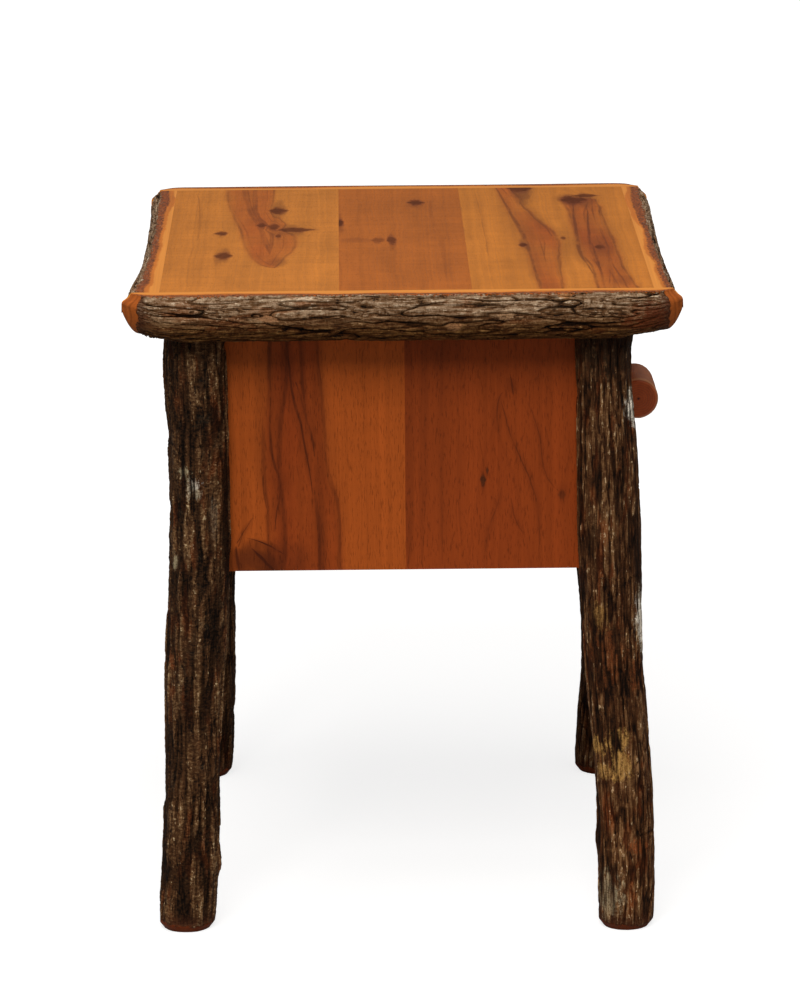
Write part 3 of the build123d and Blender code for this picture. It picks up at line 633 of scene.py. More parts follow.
def skin(name, rings, across, attributes, sharp, finish):
    """A closed mesh through rings of points, with its attributes and its sharp columns."""
    count, columns = across.shape[:2]
    places = rings.places(across) if across.shape[2] == 2 else across
    first = rings.spot(rings.stations[0], *rings.seats[0])
    last = rings.spot(rings.stations[-1], *rings.seats[-1])
    vertices = list(map(tuple, places.reshape(-1, 3))) + [tuple(first), tuple(last)]
    start, finish_cap = count * columns, count * columns + 1
    faces = []
    for row in range(count - 1):
        low, high = row * columns, (row + 1) * columns
        for column in range(columns):
            turn = (column + 1) % columns
            faces.append((low + column, low + turn, high + turn, high + column))
    top = (count - 1) * columns
    for column in range(columns):
        turn = (column + 1) % columns
        faces.append((start, turn, column))
        faces.append((finish_cap, top + column, top + turn))
    mesh = bpy.data.meshes.new(name)
    mesh.from_pydata(vertices, [], faces)
    for label, values in attributes.items():
        field = mesh.attributes.new(label, "FLOAT", "POINT")
        filled = np.append(values.reshape(-1), [values[0].mean(), values[-1].mean()])
        field.data.foreach_set("value", filled.astype(np.float32))
    made = bmesh.new()
    made.from_mesh(mesh)
    bmesh.ops.recalc_face_normals(made, faces=made.faces)
    for face in made.faces:
        face.smooth = True
    for edge in made.edges:
        one, other = (vertex.index for vertex in edge.verts)
        arris = one % columns == other % columns and one % columns in sharp
        brink = one // columns == other // columns and one // columns in (0, count - 1)
        if max(one, other) < start and (arris or brink):
            edge.smooth = False
    made.to_mesh(mesh)
    made.free()
    mesh.materials.append(finish.material)
    piece = bpy.data.objects.new(name, mesh)
    bpy.context.scene.collection.objects.link(piece)
    return piece


def spaced(low, high, step):
    """Evenly spaced stations from low to high, about a step apart."""
    return list(np.linspace(low, high, max(2, round((high - low) / step) + 1)))


def between(low, high, count):
    """Angles from low up to but not including high, going round anticlockwise."""
    sweep = (high - low) % TURN or TURN
    return [low + sweep * index / count for index in range(count)]


# ---------------------------------------------------------------- pole legs
HAIR = 0.00005            # rings at an end of a solid are measured this far inside it
PROUD = 0.0012            # crests of the legs' bark stand this far out of the turned-round pole
LEG_STEP = 0.0016
FOOT_RINGS = [0.0012, 0.0026, 0.0042, 0.006]
POLE_START = 0.0072
NOTCH_EDGE = 0.0001       # the notch's ledge lies between two rings this far from it
LEG_HALF = 1.7            # half the angle over which a pole is measured, in radians
NOTCH_HALF = 0.42         # half the angle that the notch's columns keep where there is no notch
BARK_COLUMNS, NOTCH_COLUMNS = 142, 9
HEAD_OUT = 0.006          # a pole's middle lies this far out of the case's corner, at its head
SEAT_COVER = 0.005        # a leg's columns spread from a point this deep in the wood beside the notch
BARK_SKIN = 0.0006        # half the depth over which a notch's wall turns into bark


def knob_lift(places, knobs):
    """How far healed branch stubs lift the bark. A stub is its place, its reach and its height, in mm."""
    lift = np.zeros(places.shape[:2])
    for place, reach, out in knobs:
        away = np.linalg.norm(places * 1000 - np.array(place), axis=2) / reach
        lift += out * MM * np.exp(-away ** 2)
    return lift


def leg(label, side, end, style, finish, seed, knobs=(), checks=()):
    """A crooked pole leg in its bark, notched round the case's corner, with a chamfered foot of bare wood.

    Checks are the heights, in mm, of cracks that run round it.
    """
    node = "leg_" + label
    corner = np.array([side * case_half, case_back if end > 0 else case_front])
    rings = Rings(node, 2, 0, 1, "leg_screws", list(enumerate(corner)))
    outward = math.atan2(end, side)
    inward = outward + math.pi
    low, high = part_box(node)
    sole = np.array([v.co[:2] for v in nodes[node].data.vertices if v.co.z < low.z + HAIR]).mean(0)
    head = corner + np.array([side, end]) * HEAD_OUT
    heights = [low.z] + FOOT_RINGS + spaced(POLE_START, case_bottom - NOTCH_EDGE, LEG_STEP)
    heights += spaced(case_bottom + NOTCH_EDGE, high.z, LEG_STEP)
    for height in heights:
        station = min(max(height, low.z + HAIR), high.z - HAIR)
        guess = sole + (head - sole) * height / high.z
        centre, radius = rings.circle(station, guess, outward, LEG_HALF)
        inset = (corner - centre) * np.array([-side, -end])
        seat = centre
        first, middle, last = inward - NOTCH_HALF, inward, inward + NOTCH_HALF
        if height > case_bottom:
            seat = centre + np.array([side, end]) * np.maximum(0.0, SEAT_COVER - inset)
            chord = np.sqrt(radius ** 2 - inset ** 2)
            side_edge = np.array([corner[0], centre[1] - end * chord[0]]) - seat
            face_edge = np.array([centre[0] - side * chord[1], corner[1]]) - seat
            turns = [math.atan2(edge[1], edge[0]) for edge in (side_edge, corner - seat, face_edge)]
            first, middle, last = turns if side * end < 0 else turns[::-1]
        angles = between(last, first, BARK_COLUMNS)
        angles += between(first, middle, NOTCH_COLUMNS) + between(middle, last, NOTCH_COLUMNS)
        rings.add(station, height, seat, angles, centre, radius)
    points, stations, centres, radii = rings.arrays()
    away = points - centres[:, None]
    distance = np.linalg.norm(away, axis=2)
    barked = rise(distance, radii[:, None] - 2 * BARK_SKIN, radii[:, None] - BARK_SKIN)
    barked[stations < FOOT_RINGS[-1]] = 1.0
    share = np.arctan2(away[..., 1], away[..., 0]) / TURN
    run = np.repeat(stations[:, None], points.shape[1], 1)
    random = np.random.default_rng(seed)
    girth = TURN * radii.mean()
    deep, bead, sink = ridged(share, run, girth, style, random)
    bumpy = 0.0009 * (1 + swell(share, run / 0.075, 3, random)) * 0.5
    lift = knob_lift(rings.places(points), knobs)
    for height in checks:
        course = height * MM + 0.004 * swell(share, run / 0.1, 5, random)
        crack = np.exp(-((run - course) / 0.0011) ** 2) * rise(swell(share, run / 0.05, 6, random), -0.2, 0.2)
        deep = np.maximum(deep, crack)
        sink = sink + 0.0012 * crack
    ease = rise(run, 0.003, 0.012)
    move = ((lift + PROUD) * ease - (sink + bumpy) * (0.25 + 0.75 * ease)) * barked
    screws = surface_finder("leg_screws")
    outside = rings.places(points)
    for row, column in np.argwhere((run > case_bottom) & (barked > 0)):
        depth = screws.find_nearest(Vector(outside[row, column]), 0.006)[3]
        if depth is not None:
            move[row, column] = max(move[row, column], min(0.0, 0.001 - depth))
    across = points + away / distance[..., None] * move[..., None]
    for axis, way in enumerate((side, end)):
        plane = way * corner[axis]
        clear = (way * points[..., axis] > plane - MM / 100) & (run > case_bottom - 0.002)
        level = way * np.maximum(way * across[..., axis], plane)
        across[..., axis] = np.where(clear, level, across[..., axis])
    fields = {"furrow": deep * barked * ease, "bead": bead, "planed": np.full_like(run, -30.0),
              "end": run * 1000 + 2.4}
    sharp = {0, BARK_COLUMNS, BARK_COLUMNS + NOTCH_COLUMNS}
    piece = skin("bark_leg_" + label, rings, across, fields, sharp, finish)
    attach(piece, "table")
    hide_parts(node)


# ---------------------------------------------------------------- split logs round the top
LOG_STEP = 0.0015
END_RINGS = [0.0, 0.0003, 0.0008, 0.0014, 0.0022, 0.0032, 0.0045, 0.006, 0.0078]
END_REACH = 0.0095        # how far a free end's close rings reach
UNSHAPED = 0.03           # a log's girth is taken no nearer to a free end than this
LOG_HALF = 0.95           # half the angle over which a log is measured, in radians
LOG_TILT = 0.35           # how far below level the middle of that angle points, in radians
FLAT_COLUMNS, ROUND_COLUMNS, SAWN_COLUMNS = 14, 84, 10
SEAT_OUT, SEAT_DOWN = 0.009, 0.0175   # where a log's columns spread from
ON_TOP, ON_SAWN = 0.0002, 0.0003      # points this near to the planed top or the sawn face are on it
TAPER_DROP = 0.034        # a taper is in full this far below the top
NARROW_REACH, NARROW_SHARE = 0.036, 0.72   # how far from a free end it narrows, and how much of its width
EASE_BACK, EASE_DOWN, EASE_OUT = 0.009, 0.018, 0.026   # how a free end's upper corner is sanded back
SMOOTH_TO, FULL_FROM = 0.010, 0.026   # furrows start and are in full this far from a free end


def split_log(label, axis, out_axis, inner, way, style, finish, seed, tapers=(), knobs=(), proud=0.0,
              sag=0.0):
    """A log ripped down its length, its sawn face against the boards and its upper face planed level.

    Tapers belong to free ends, which are sanded round to bare wood: how far each reaches, and how much of the
    log's lower side it takes away at the end. Bark may stand proud of the ripped solid, but not beyond the
    table's outline, and its underside may sag.
    """
    free_ends = bool(tapers)
    node = "edge_log_" + label
    rings = Rings(node, axis, out_axis, 2, "edge_log_dowels", [(out_axis, inner)])
    low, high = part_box(node)
    start, stop = low[axis], high[axis]
    seat = np.array([inner + way * SEAT_OUT, top_z - SEAT_DOWN])
    middle = math.pi / 2 * (1 - way) - way * LOG_TILT
    stations = spaced(start, stop, LOG_STEP)
    if free_ends:
        stations = [start + gap for gap in END_RINGS] + spaced(start + END_REACH, stop - END_REACH, LOG_STEP)
        stations += [stop - gap for gap in reversed(END_RINGS)]
    centre, radius = None, None
    for station in stations:
        place = min(max(station, start + HAIR), stop - HAIR)
        if centre is None or min(station - start, stop - station) > UNSHAPED:
            measured = min(max(station, start + UNSHAPED), stop - UNSHAPED) if free_ends else place
            centre, radius = rings.circle(measured, seat, middle, LOG_HALF)
        rise_top = top_z - centre[1]
        offset = inner - centre[0]
        arris = np.array([centre[0] + way * math.sqrt(radius ** 2 - rise_top ** 2), top_z])
        heel = np.array([inner, centre[1] - math.sqrt(radius ** 2 - offset ** 2)])
        crown = np.array([inner, top_z])
        turns = [math.atan2(*(edge - seat)[::-1]) for edge in (crown, arris, heel)]
        counts = (FLAT_COLUMNS, ROUND_COLUMNS, SAWN_COLUMNS)
        if way > 0:
            turns = turns[::-1]
            counts = (ROUND_COLUMNS, FLAT_COLUMNS, SAWN_COLUMNS)
        angles = []
        for index, count in enumerate(counts):
            angles += between(turns[index], turns[(index + 1) % 3], count)
        rings.add(place, station, seat, angles, centre, radius)
    points, stations, centres, radii = rings.arrays()
    away = points - centres[:, None]
    distance = np.maximum(np.linalg.norm(away, axis=2), 1e-6)
    out = way * (points[..., 0] - inner)
    height = points[..., 1]
    arris_out = way * (centres[:, 0] - inner) + np.sqrt(radii ** 2 - (top_z - centres[:, 1]) ** 2)
    flat = height > top_z - ON_TOP
    sawn = out < ON_SAWN
    to_arris = np.hypot(out - arris_out[:, None], height - top_z)
    planed = np.where(flat, arris_out[:, None] - out, -to_arris) * 1000
    planed = np.where(sawn & ~flat, 30.0, planed)
    barked = (~flat & ~sawn).astype(float)
    run = np.repeat(stations[:, None], points.shape[1], 1)
    share = np.arctan2(away[..., 1], way * away[..., 0]) / TURN + 0.25
    random = np.random.default_rng(seed)
    deep, bead, sink = ridged(share, run, TURN * radii.mean(), style, random)
    soften = rise(-planed, 0.0, 3.0)
    wave = 0.0012 * (1 + swell(share, run / 0.05, 3, random)) * 0.5
    down = np.clip(-away[..., 1] / distance, 0.0, 1.0) ** 1.5 * rise(out, 0.0, 0.008)
    lift = knob_lift(rings.places(points), knobs) + proud + sag * down
    gap = np.minimum(run - start, stop - run) if free_ends else np.full_like(run, 1.0)
    furrowed = rise(gap, SMOOTH_TO, FULL_FROM) if free_ends else np.ones_like(run)
    move = (lift - (sink + wave) * furrowed) * barked * soften
    across = points + away / distance[..., None] * move[..., None]
    places = rings.places(across)
    for near_end, inward, (length, depth) in zip((run - start, stop - run), (1, -1), tapers):
        below = rise(top_z - height, 0.0, TAPER_DROP)
        places[..., 2] += np.clip(1 - near_end / length, 0, 1) ** 1.4 * depth * below
        drawn_in = np.clip(1 - near_end / NARROW_REACH, 0, 1) ** 2 * NARROW_SHARE
        places[..., out_axis] -= way * np.maximum(out, 0.0) * drawn_in
        eased = EASE_BACK * rise(height, top_z - EASE_DOWN, top_z) ** 2 * (1 - rise(near_end, 0.0, EASE_OUT))
        places[..., axis] += inward * eased
    places[..., 2] = np.minimum(places[..., 2], top_z)
    outline = way * cad_size[way > 0][out_axis] - MM / 10
    places[..., out_axis] = way * np.minimum(way * places[..., out_axis], outline)
    fields = {"furrow": deep * barked * (0.25 + 0.75 * soften) * (0.3 + 0.7 * furrowed), "bead": bead,
              "planed": planed, "end": gap * 1000}
    columns = np.cumsum((0,) + counts)[:3]
    piece = skin("bark_log_" + label, rings, places, fields, set(columns), finish)
    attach(piece, "table")
    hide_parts(node)


# ---------------------------------------------------------------- the branch handle
HANDLE_RADIUS = 0.020
HANDLE_STEP = 0.0012
HANDLE_COLUMNS = 110
SANDED_RINGS = [0.0, 0.0008, 0.0016, 0.0024, 0.0031]
SANDED_REACH = 0.004


def handle(finish):
    """The short branch on the drawer: drawknife facets and raised fibres, with sanded ends."""
    node = "drawer_handle"
    low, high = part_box(node)
    face = high.y
    rings = Rings(node, 0, 1, 2, "drawer_handle_screws", [(1, face)])
    seat = np.array([low.y + HANDLE_RADIUS, (low.z + high.z) / 2])
    stations = [low.x + gap for gap in SANDED_RINGS]
    stations += spaced(low.x + SANDED_REACH, high.x - SANDED_REACH, HANDLE_STEP)
    stations += [high.x - gap for gap in reversed(SANDED_RINGS)]
    for station in stations:
        place = min(max(station, low.x + HAIR), high.x - HAIR)
        rings.add(place, station, seat, between(0.0, TURN, HANDLE_COLUMNS), seat, HANDLE_RADIUS)
    points, stations, centres, radii = rings.arrays()
    away = points - centres[:, None]
    distance = np.linalg.norm(away, axis=2)
    run = np.repeat(stations[:, None], points.shape[1], 1)
    share = np.arctan2(away[..., 1], away[..., 0]) / TURN
    random = np.random.default_rng(31)
    facets = np.abs(swell(share, run / 0.045, 7, random)) * 0.0005
    fibres = np.abs(swell(share, run / 0.018, 40, random)) * 0.0002
    free = rise(face - points[..., 0], 0.0004, 0.003)
    across = points - away / distance[..., None] * ((facets + fibres) * free)[..., None]
    piece = skin("branch_handle", rings, across, {}, set(), finish)
    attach(piece, "drawer")
    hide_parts(node)


# ---------------------------------------------------------------- finishes of the top's boards
HONEY = tone(0.480, 0.162, 0.022)
HONEY_DEEP = tone(0.380, 0.103, 0.012)
AMBER = tone(0.30, 0.050, 0.005)

top_back = hickory(
    "hickory_top_back", "X", "Y", HONEY, AMBER, seed=1.0,
    flames=[([(-160, 117), (-116, 140), (-64, 147), (56, 156), (150, 165), (275, 171)],
             [(-160, 117), (-92, 104), (-13, 98), (53, 103), (150, 120), (275, 121)], 0.8, 7.0)],
    streaks=[([(-20, 193), (47, 194), (131, 195), (265, 201)], 1.0, 0.35)],
    knots=[(150, 117, 19, 10, 0.8), (68, 133, 12, 5, 0.65), (60, 121, 22, 6, 0.7), (42, 99, 12, 20, 0.75),
           (25, 171, 13, 7, 0.8), (-94, 167, 19, 9, 0.8), (10, 116, 9, 3, 0.6)],
    pore_depth=0.16, line_depth=0.75, curl=0.32, cloudy=0.62,
    smears=[(-130, 118, 26, 12, 0.35)])
top_middle = hickory(
    "hickory_top_middle", "X", "Y", HONEY_DEEP, AMBER, seed=9.0, curl=0.34, pore_depth=0.16, cloudy=0.6,
    streaks=[([(-270, -42), (-20, -41), (119, -34), (270, -36)], 5.0, 0.25)],
    knots=[(191, -19, 15, 9, 0.8), (80, 57, 22, 5, 0.9), (-18, 7, 22, 5, 0.7), (-17, 20, 18, 7, 0.45)],
    smears=[(-17, 38, 18, 20, 0.28)])
top_front = hickory(
    "hickory_top_front", "X", "Y", tone(0.475, 0.157, 0.019), AMBER, seed=17.0, pore_depth=0.13,
    line_depth=0.85, curl=0.28, cloudy=0.55,
    flames=[([(-275, -124), (-145, -123), (-41, -121), (31, -118), (106, -113), (202, -106), (275, -102)],
             [(-275, -148), (-146, -151), (-60, -154), (2, -152), (48, -145), (95, -137), (171, -130),
              (275, -124)], 0.9, 8.0),
            ([(-275, -179), (-198, -179), (-131, -175), (-61, -170), (29, -169), (121, -170), (205, -173)],
             [(-275, -218), (-233, -214), (-141, -208), (-63, -207), (64, -204), (158, -203), (205, -190)],
             0.95, 9.0)],
    streaks=[([(-120, -84), (32, -83), (150, -82), (265, -80)], 1.3, 0.30),
             ([(-275, -125), (-145, -124), (-41, -122), (31, -119), (106, -114), (202, -107), (268, -103)],
              4.5, 0.65),
             ([(-260, -147), (-146, -150), (-60, -153), (2, -151), (48, -144), (171, -129), (262, -124)],
              3.5, 0.50),
             ([(20, -117), (92, -114), (144, -112), (190, -109)], 2.2, 0.55),
             ([(-10, -148), (39, -144), (58, -141), (124, -131), (150, -129)], 2.4, 0.55),
             ([(-210, -179), (-148, -175), (-87, -171), (29, -172), (140, -175), (190, -177)], 4.0, 0.70),
             ([(-205, -187), (-165, -185), (-62, -182), (28, -185), (120, -188), (165, -190)], 3.2, 0.70),
             ([(-190, -187), (-114, -185), (-62, -184), (-40, -184)], 3.0, 0.75),
             ([(-275, -217), (-141, -207), (-63, -206), (64, -203), (158, -202), (190, -196)], 3.0, 0.50),
             ([(-262, -190), (-165, -195), (-40, -198), (80, -196)], 2.0, 0.45)],
    knots=[(270, -125, 24, 14, 0.75), (222, -190, 10, 15, 0.75), (198, -178, 26, 15, 0.80),
           (-51, -118, 11, 5, 0.9), (-16, -158, 8, 3, 0.6), (-65, -191, 14, 6, 0.8)],
    smears=[(-60, -193, 70, 13, 0.30), (200, -180, 40, 26, 0.45), (244, -127, 40, 14, 0.35),
            (-235, -205, 30, 9, 0.35)])
TOP_FINISHES = {"back": top_back, "middle": top_middle, "front": top_front}

# ---------------------------------------------------------------- finishes of the case
RUSSET_LIGHT = tone(0.46, 0.093, 0.013)
RUSSET = tone(0.34, 0.058, 0.009)
RUSSET_DARK = tone(0.235, 0.033, 0.006)

side_left_back = hickory(
    "hickory_side_left_back", "Z", "Y", RUSSET_LIGHT, RUSSET_DARK, seed=25.0, curl=0.16,
    flames=[([(338, 129), (386, 126), (430, 130), (469, 129), (518, 124), (590, 121)],
             [(338, 59), (363, 59), (390, 60), (438, 70), (469, 72), (541, 78), (590, 79)], 0.85, 11.0)],
    streaks=[([(394, 124), (430, 130), (469, 129), (507, 124), (590, 121)], 4.5, 0.7),
             ([(372, 120), (394, 118), (418, 115), (438, 119), (474, 123), (519, 120)], 2.6, 0.75),
             ([(406, 84), (425, 86), (469, 93), (496, 100), (531, 105), (590, 107)], 2.4, 0.85),
             ([(445, 82), (463, 84), (485, 90), (519, 100)], 3.0, 0.9),
             ([(338, 72), (386, 77), (430, 79), (452, 80)], 1.8, 0.8),
             ([(348, 59), (390, 60), (438, 70), (469, 72), (541, 78)], 4.0, 0.55),
             ([(363, 156), (390, 140)], 1.2, 0.8), ([(360, 154), (378, 148)], 1.0, 0.7),
             ([(336, 119), (360, 141)], 4.4, 1.0), ([(353, 111), (367, 136), (370, 147)], 3.6, 1.0),
             ([(336, 152), (351, 155), (362, 156)], 3.4, 0.8),
             ([(336, 128), (348, 143), (357, 148)], 2.4, 0.8)],
    smears=[(344, 136, 24, 30, 0.66), (344, 108, 30, 26, 0.50)])
side_left_front = hickory(
    "hickory_side_left_front", "Z", "Y", RUSSET, RUSSET_DARK, seed=33.0,
    flames=[([(338, -57), (390, -64), (443, -73), (482, -85), (491, -87)],
             [(338, -121), (390, -111), (443, -99), (482, -87), (491, -87)], 0.18, 14.0)],
    streaks=[([(349, -126), (396, -125), (418, -119), (443, -109), (469, -99), (504, -90)], 1.4, 0.6),
             ([(408, -150), (430, -132), (467, -126), (496, -116)], 1.2, 0.5),
             ([(349, -75), (378, -80), (408, -90), (420, -92)], 1.2, 0.5),
             ([(371, -113), (386, -103), (403, -100)], 1.4, 0.5),
             ([(463, -94), (478, -87), (507, -94)], 2.0, 0.55), ([(503, -103), (521, -100)], 2.2, 0.7),
             ([(338, -3), (434, -5), (590, -4)], 15.0, 0.30),
             ([(341, -17), (452, -19), (590, -21)], 10.0, 0.28),
             ([(338, -36), (434, -36), (590, -38)], 4.0, 0.34),
             ([(363, -55), (460, -52), (590, -54)], 5.0, 0.22)],
    knots=[(423, -74, 6, 3, 1.0), (432, -78, 3, 1.6, 0.8), (408, -147, 5, 4, 0.4)],
    smears=[(590, -43, 60, 70, 0.30)])
side_right_back = hickory(
    "hickory_side_right_back", "Z", "Y", RUSSET, RUSSET_DARK, seed=41.0,
    flames=[([(338, 96), (440, 104), (590, 118)], [(338, 40), (440, 58), (590, 66)], 0.7, 12.0)],
    knots=[(470, 84, 12, 7, 0.9)])
side_right_front = hickory(
    "hickory_side_right_front", "Z", "Y", RUSSET_LIGHT, RUSSET_DARK, seed=49.0, curl=0.12,
    flames=[([(338, -60), (420, -78), (500, -96), (516, -98)],
             [(338, -150), (420, -130), (500, -102), (516, -98)], 0.4, 12.0)],
    knots=[(560, -40, 9, 6, 0.9)])
SIDE_FINISHES = {"left_back": side_left_back, "left_front": side_left_front,
                 "right_back": side_right_back, "right_front": side_right_front}

back_left = hickory("hickory_back_left", "Z", "X", RUSSET_LIGHT, RUSSET_DARK, seed=57.0,
                    flames=[([(338, -140), (460, -150), (590, -146)], [(338, -190), (460, -182), (590, -196)],
                             0.7, 11.0)])
back_middle_left = hickory("hickory_back_middle_left", "Z", "X", RUSSET, RUSSET_DARK, seed=65.0,
                           knots=[(480, -62, 13, 8, 0.9)],
                           flames=[([(338, -30), (450, -42), (560, -62), (590, -64)],
                                    [(338, -92), (450, -84), (560, -66), (590, -64)], 0.3, 11.0)])
back_middle_right = hickory("hickory_back_middle_right", "Z", "X", RUSSET_LIGHT, RUSSET_DARK, seed=73.0,
                            curl=0.12, knots=[(395, 34, 8, 5, 0.8)])
back_right = hickory("hickory_back_right", "Z", "X", RUSSET, RUSSET_DARK, seed=81.0,
                     flames=[([(338, 196), (480, 182), (590, 190)], [(338, 150), (480, 146), (590, 160)],
                              0.6, 11.0)],
                     knots=[(520, 128, 7, 5, 0.8)])
BACK_FINISHES = {"left": back_left, "middle_left": back_middle_left, "middle_right": back_middle_right,
                 "right": back_right}

drawer_face = hickory(
    "hickory_drawer_face", "X", "Z", RUSSET_LIGHT, RUSSET_DARK, seed=89.0,
    flames=[([(-215, 470), (-90, 486), (40, 482), (150, 468), (215, 470)],
             [(-215, 432), (-90, 418), (40, 424), (150, 436), (215, 428)], 0.6, 10.0),
            ([(-215, 392), (-60, 398), (90, 384), (160, 372), (215, 372)],
             [(-215, 352), (-60, 356), (90, 364), (160, 370), (215, 371)], 0.45, 9.0)],
    knots=[(-128, 520, 16, 9, 0.95), (96, 404, 12, 7, 0.9), (152, 512, 7, 5, 0.7)],
    smears=[(-100, 512, 40, 14, 0.25)])
rail_finish = hickory("hickory_rails", "X", "Z", RUSSET, RUSSET_DARK, seed=97.0)

# ---------------------------------------------------------------- finishes of everything else from the frame
inside_z = plain_wood("inside_wood_across", "X", tone(0.62, 0.42, 0.24), seed=2.0)
inside_y = plain_wood("inside_wood_lengthwise", "Y", tone(0.64, 0.44, 0.26), seed=6.0)
zinc = plated_steel("zinc_plated_steel", tone(0.66, 0.66, 0.65), "Y", 0.28)
yellow_zinc = plated_steel("yellow_zinc_screws", tone(0.62, 0.52, 0.30), "X", 0.26, seed=5.0)
cage_steel = plated_steel("cage_steel", tone(0.50, 0.50, 0.50), "Y", 0.34, seed=9.0)
balls = polished_steel()
bottom_ply = plywood()


def dress(finish, *names):
    """Gives CAD nodes a finish."""
    for name in names:
        for place in range(len(nodes[name].data.materials)):
            nodes[name].data.materials[place] = finish.material


for label, finish in TOP_FINISHES.items():
    dress(finish, "top_board_" + label)
for label, finish in SIDE_FINISHES.items():
    dress(finish, "side_board_" + label)
for label, finish in BACK_FINISHES.items():
    dress(finish, "back_board_" + label)
dress(drawer_face, "drawer_front")
dress(rail_finish, "front_rail_top", "front_rail_bottom")
dress(inside_z, "back_rail_bottom", "top_cleat_front", "top_cleat_back", "drawer_box_front",
      "drawer_box_back", "edge_log_dowels", "rail_dowels")
dress(inside_y, "top_cleat_left", "top_cleat_right", "slide_batten_left", "slide_batten_right",
      "drawer_side_left", "drawer_side_right")
dress(bottom_ply, "drawer_bottom")
for hand in ("left", "right"):
    dress(zinc, "slide_case_member_" + hand, "slide_middle_member_" + hand, "slide_drawer_member_" + hand)
    dress(cage_steel, "slide_outer_cage_" + hand, "slide_inner_cage_" + hand)
    dress(balls, "slide_outer_balls_" + hand, "slide_inner_balls_" + hand)
dress(yellow_zinc, "leg_screws", "top_screws", "cleat_screws", "batten_screws", "back_board_screws",
      "slide_case_screws", "slide_drawer_screws", "drawer_front_screws", "drawer_handle_screws")

# ---------------------------------------------------------------- bark pieces
PALE = tone(0.52, 0.43, 0.26)
CHALK = tone(0.62, 0.51, 0.35)
WHITE = tone(0.95, 0.86, 0.72)
GOLD = tone(0.50, 0.27, 0.075)
SCRAPED = tone(0.24, 0.062, 0.016)
# Painted shadow: these two near-black tones paint the shade that the log above casts on a leg's top.
PAINTED_SHADOW_DARK = tone(0.018, 0.009, 0.004)
PAINTED_SHADOW_BROWN = tone(0.020, 0.010, 0.004)
TAN_PINK = tone(0.42, 0.20, 0.09)
TAN_BRIGHT = tone(0.50, 0.22, 0.08)
TAN_DULL = tone(0.40, 0.19, 0.08)
TAN_GREY = tone(0.42, 0.24, 0.12)
RUST_BROWN = tone(0.14, 0.030, 0.008)
RUST_DARK = tone(0.10, 0.022, 0.006)
RUST_WARM = tone(0.12, 0.034, 0.010)

# valleys, body, crests, painted highlights and rust of the bark on the legs and on the logs
LEG_BROWN = (tone(0.0105, 0.0046, 0.0019), tone(0.073, 0.0290, 0.0098), tone(0.285, 0.156, 0.067),
             tone(0.68, 0.50, 0.28), tone(0.180, 0.043, 0.009))
LEG_RED = (tone(0.0115, 0.0044, 0.0016), tone(0.068, 0.0235, 0.0070), tone(0.265, 0.132, 0.053),
           tone(0.68, 0.47, 0.26), tone(0.200, 0.045, 0.009))
LOG_BROWN = (tone(0.012, 0.0055, 0.0026), tone(0.112, 0.053, 0.021), tone(0.350, 0.242, 0.152),
             tone(0.62, 0.49, 0.35), tone(0.200, 0.066, 0.018))
LOG_PAINTED_LIGHT = (top_z - 0.036, top_z - 0.008)   # the heights between which a log's bark is painted lighter upwards, as painted top light over painted shade below
LOG_SHINE = 0.07

bark_back_left = bark(
    "bark_back_left", "Z", LEG_BROWN, seed=3.0, painted_highlight_share=0.8, moss=0.10, scaly=0.65, foot_pale=0.18,
    patches=[((-268, 200, 438), 7, 9, PALE, 1.0), ((-272, 194, 422), 8, 8, CHALK, 1.0),
             ((-265, 209, 354), 6, 9, PALE, 0.9), ((-271, 175, 396), 5, 22, CHALK, 0.15),
             ((-270, 192, 430), 6, 7, WHITE, 0.9), ((-268, 213, 262), 9, 12, SCRAPED, 0.8)])
bark_front_left = bark(
    "bark_front_left", "Z", LEG_RED, seed=13.0, painted_highlight_share=0.8, scaly=0.12, foot_pale=0.34,
    # The first two patches are painted shadow at the top of the leg, under the log.
    patches=[((-262, -200, 562), 60, 44, PAINTED_SHADOW_DARK, 0.75), ((-275, -190, 572), 60, 50, PAINTED_SHADOW_BROWN, 0.75),
             ((-255, -209, 496), 11, 17, CHALK, 1.0), ((-256, -210, 493), 10, 15, WHITE, 2.2),
             ((-262, -221, 296), 13, 34, CHALK, 1.0), ((-264, -219, 297), 9, 26, WHITE, 1.6),
             ((-271, -178, 176), 13, 10, GOLD, 1.0), ((-283, -197, 182), 12, 12, GOLD, 1.0),
             ((-284, -201, 160), 11, 16, GOLD, 0.9), ((-278, -186, 154), 11, 9, GOLD, 0.8),
             ((-278, -181, 304), 9, 15, GOLD, 0.6), ((-280, -188, 262), 20, 30, SCRAPED, 0.6),
             ((-274, -214, 244), 10, 17, SCRAPED, 0.9), ((-284, -219, 82), 11, 9, SCRAPED, 1.0),
             ((-280, -190, 34), 18, 26, PALE, 0.5)])
bark_back_right = bark(
    "bark_back_right", "Z", LEG_BROWN, seed=23.0, painted_highlight_share=0.8, moss=0.12, scaly=0.5, foot_pale=0.18,
    patches=[((284, 222, 250), 12, 20, PALE, 0.8)])
bark_front_right = bark(
    "bark_front_right", "Z", LEG_RED, seed=33.0, painted_highlight_share=0.8, moss=0.05, scaly=0.25, foot_pale=0.3,
    patches=[((270, -205, 420), 12, 22, GOLD, 0.8), ((262, -240, 180), 10, 26, CHALK, 0.8),
             ((280, -215, 300), 20, 26, SCRAPED, 0.5)])
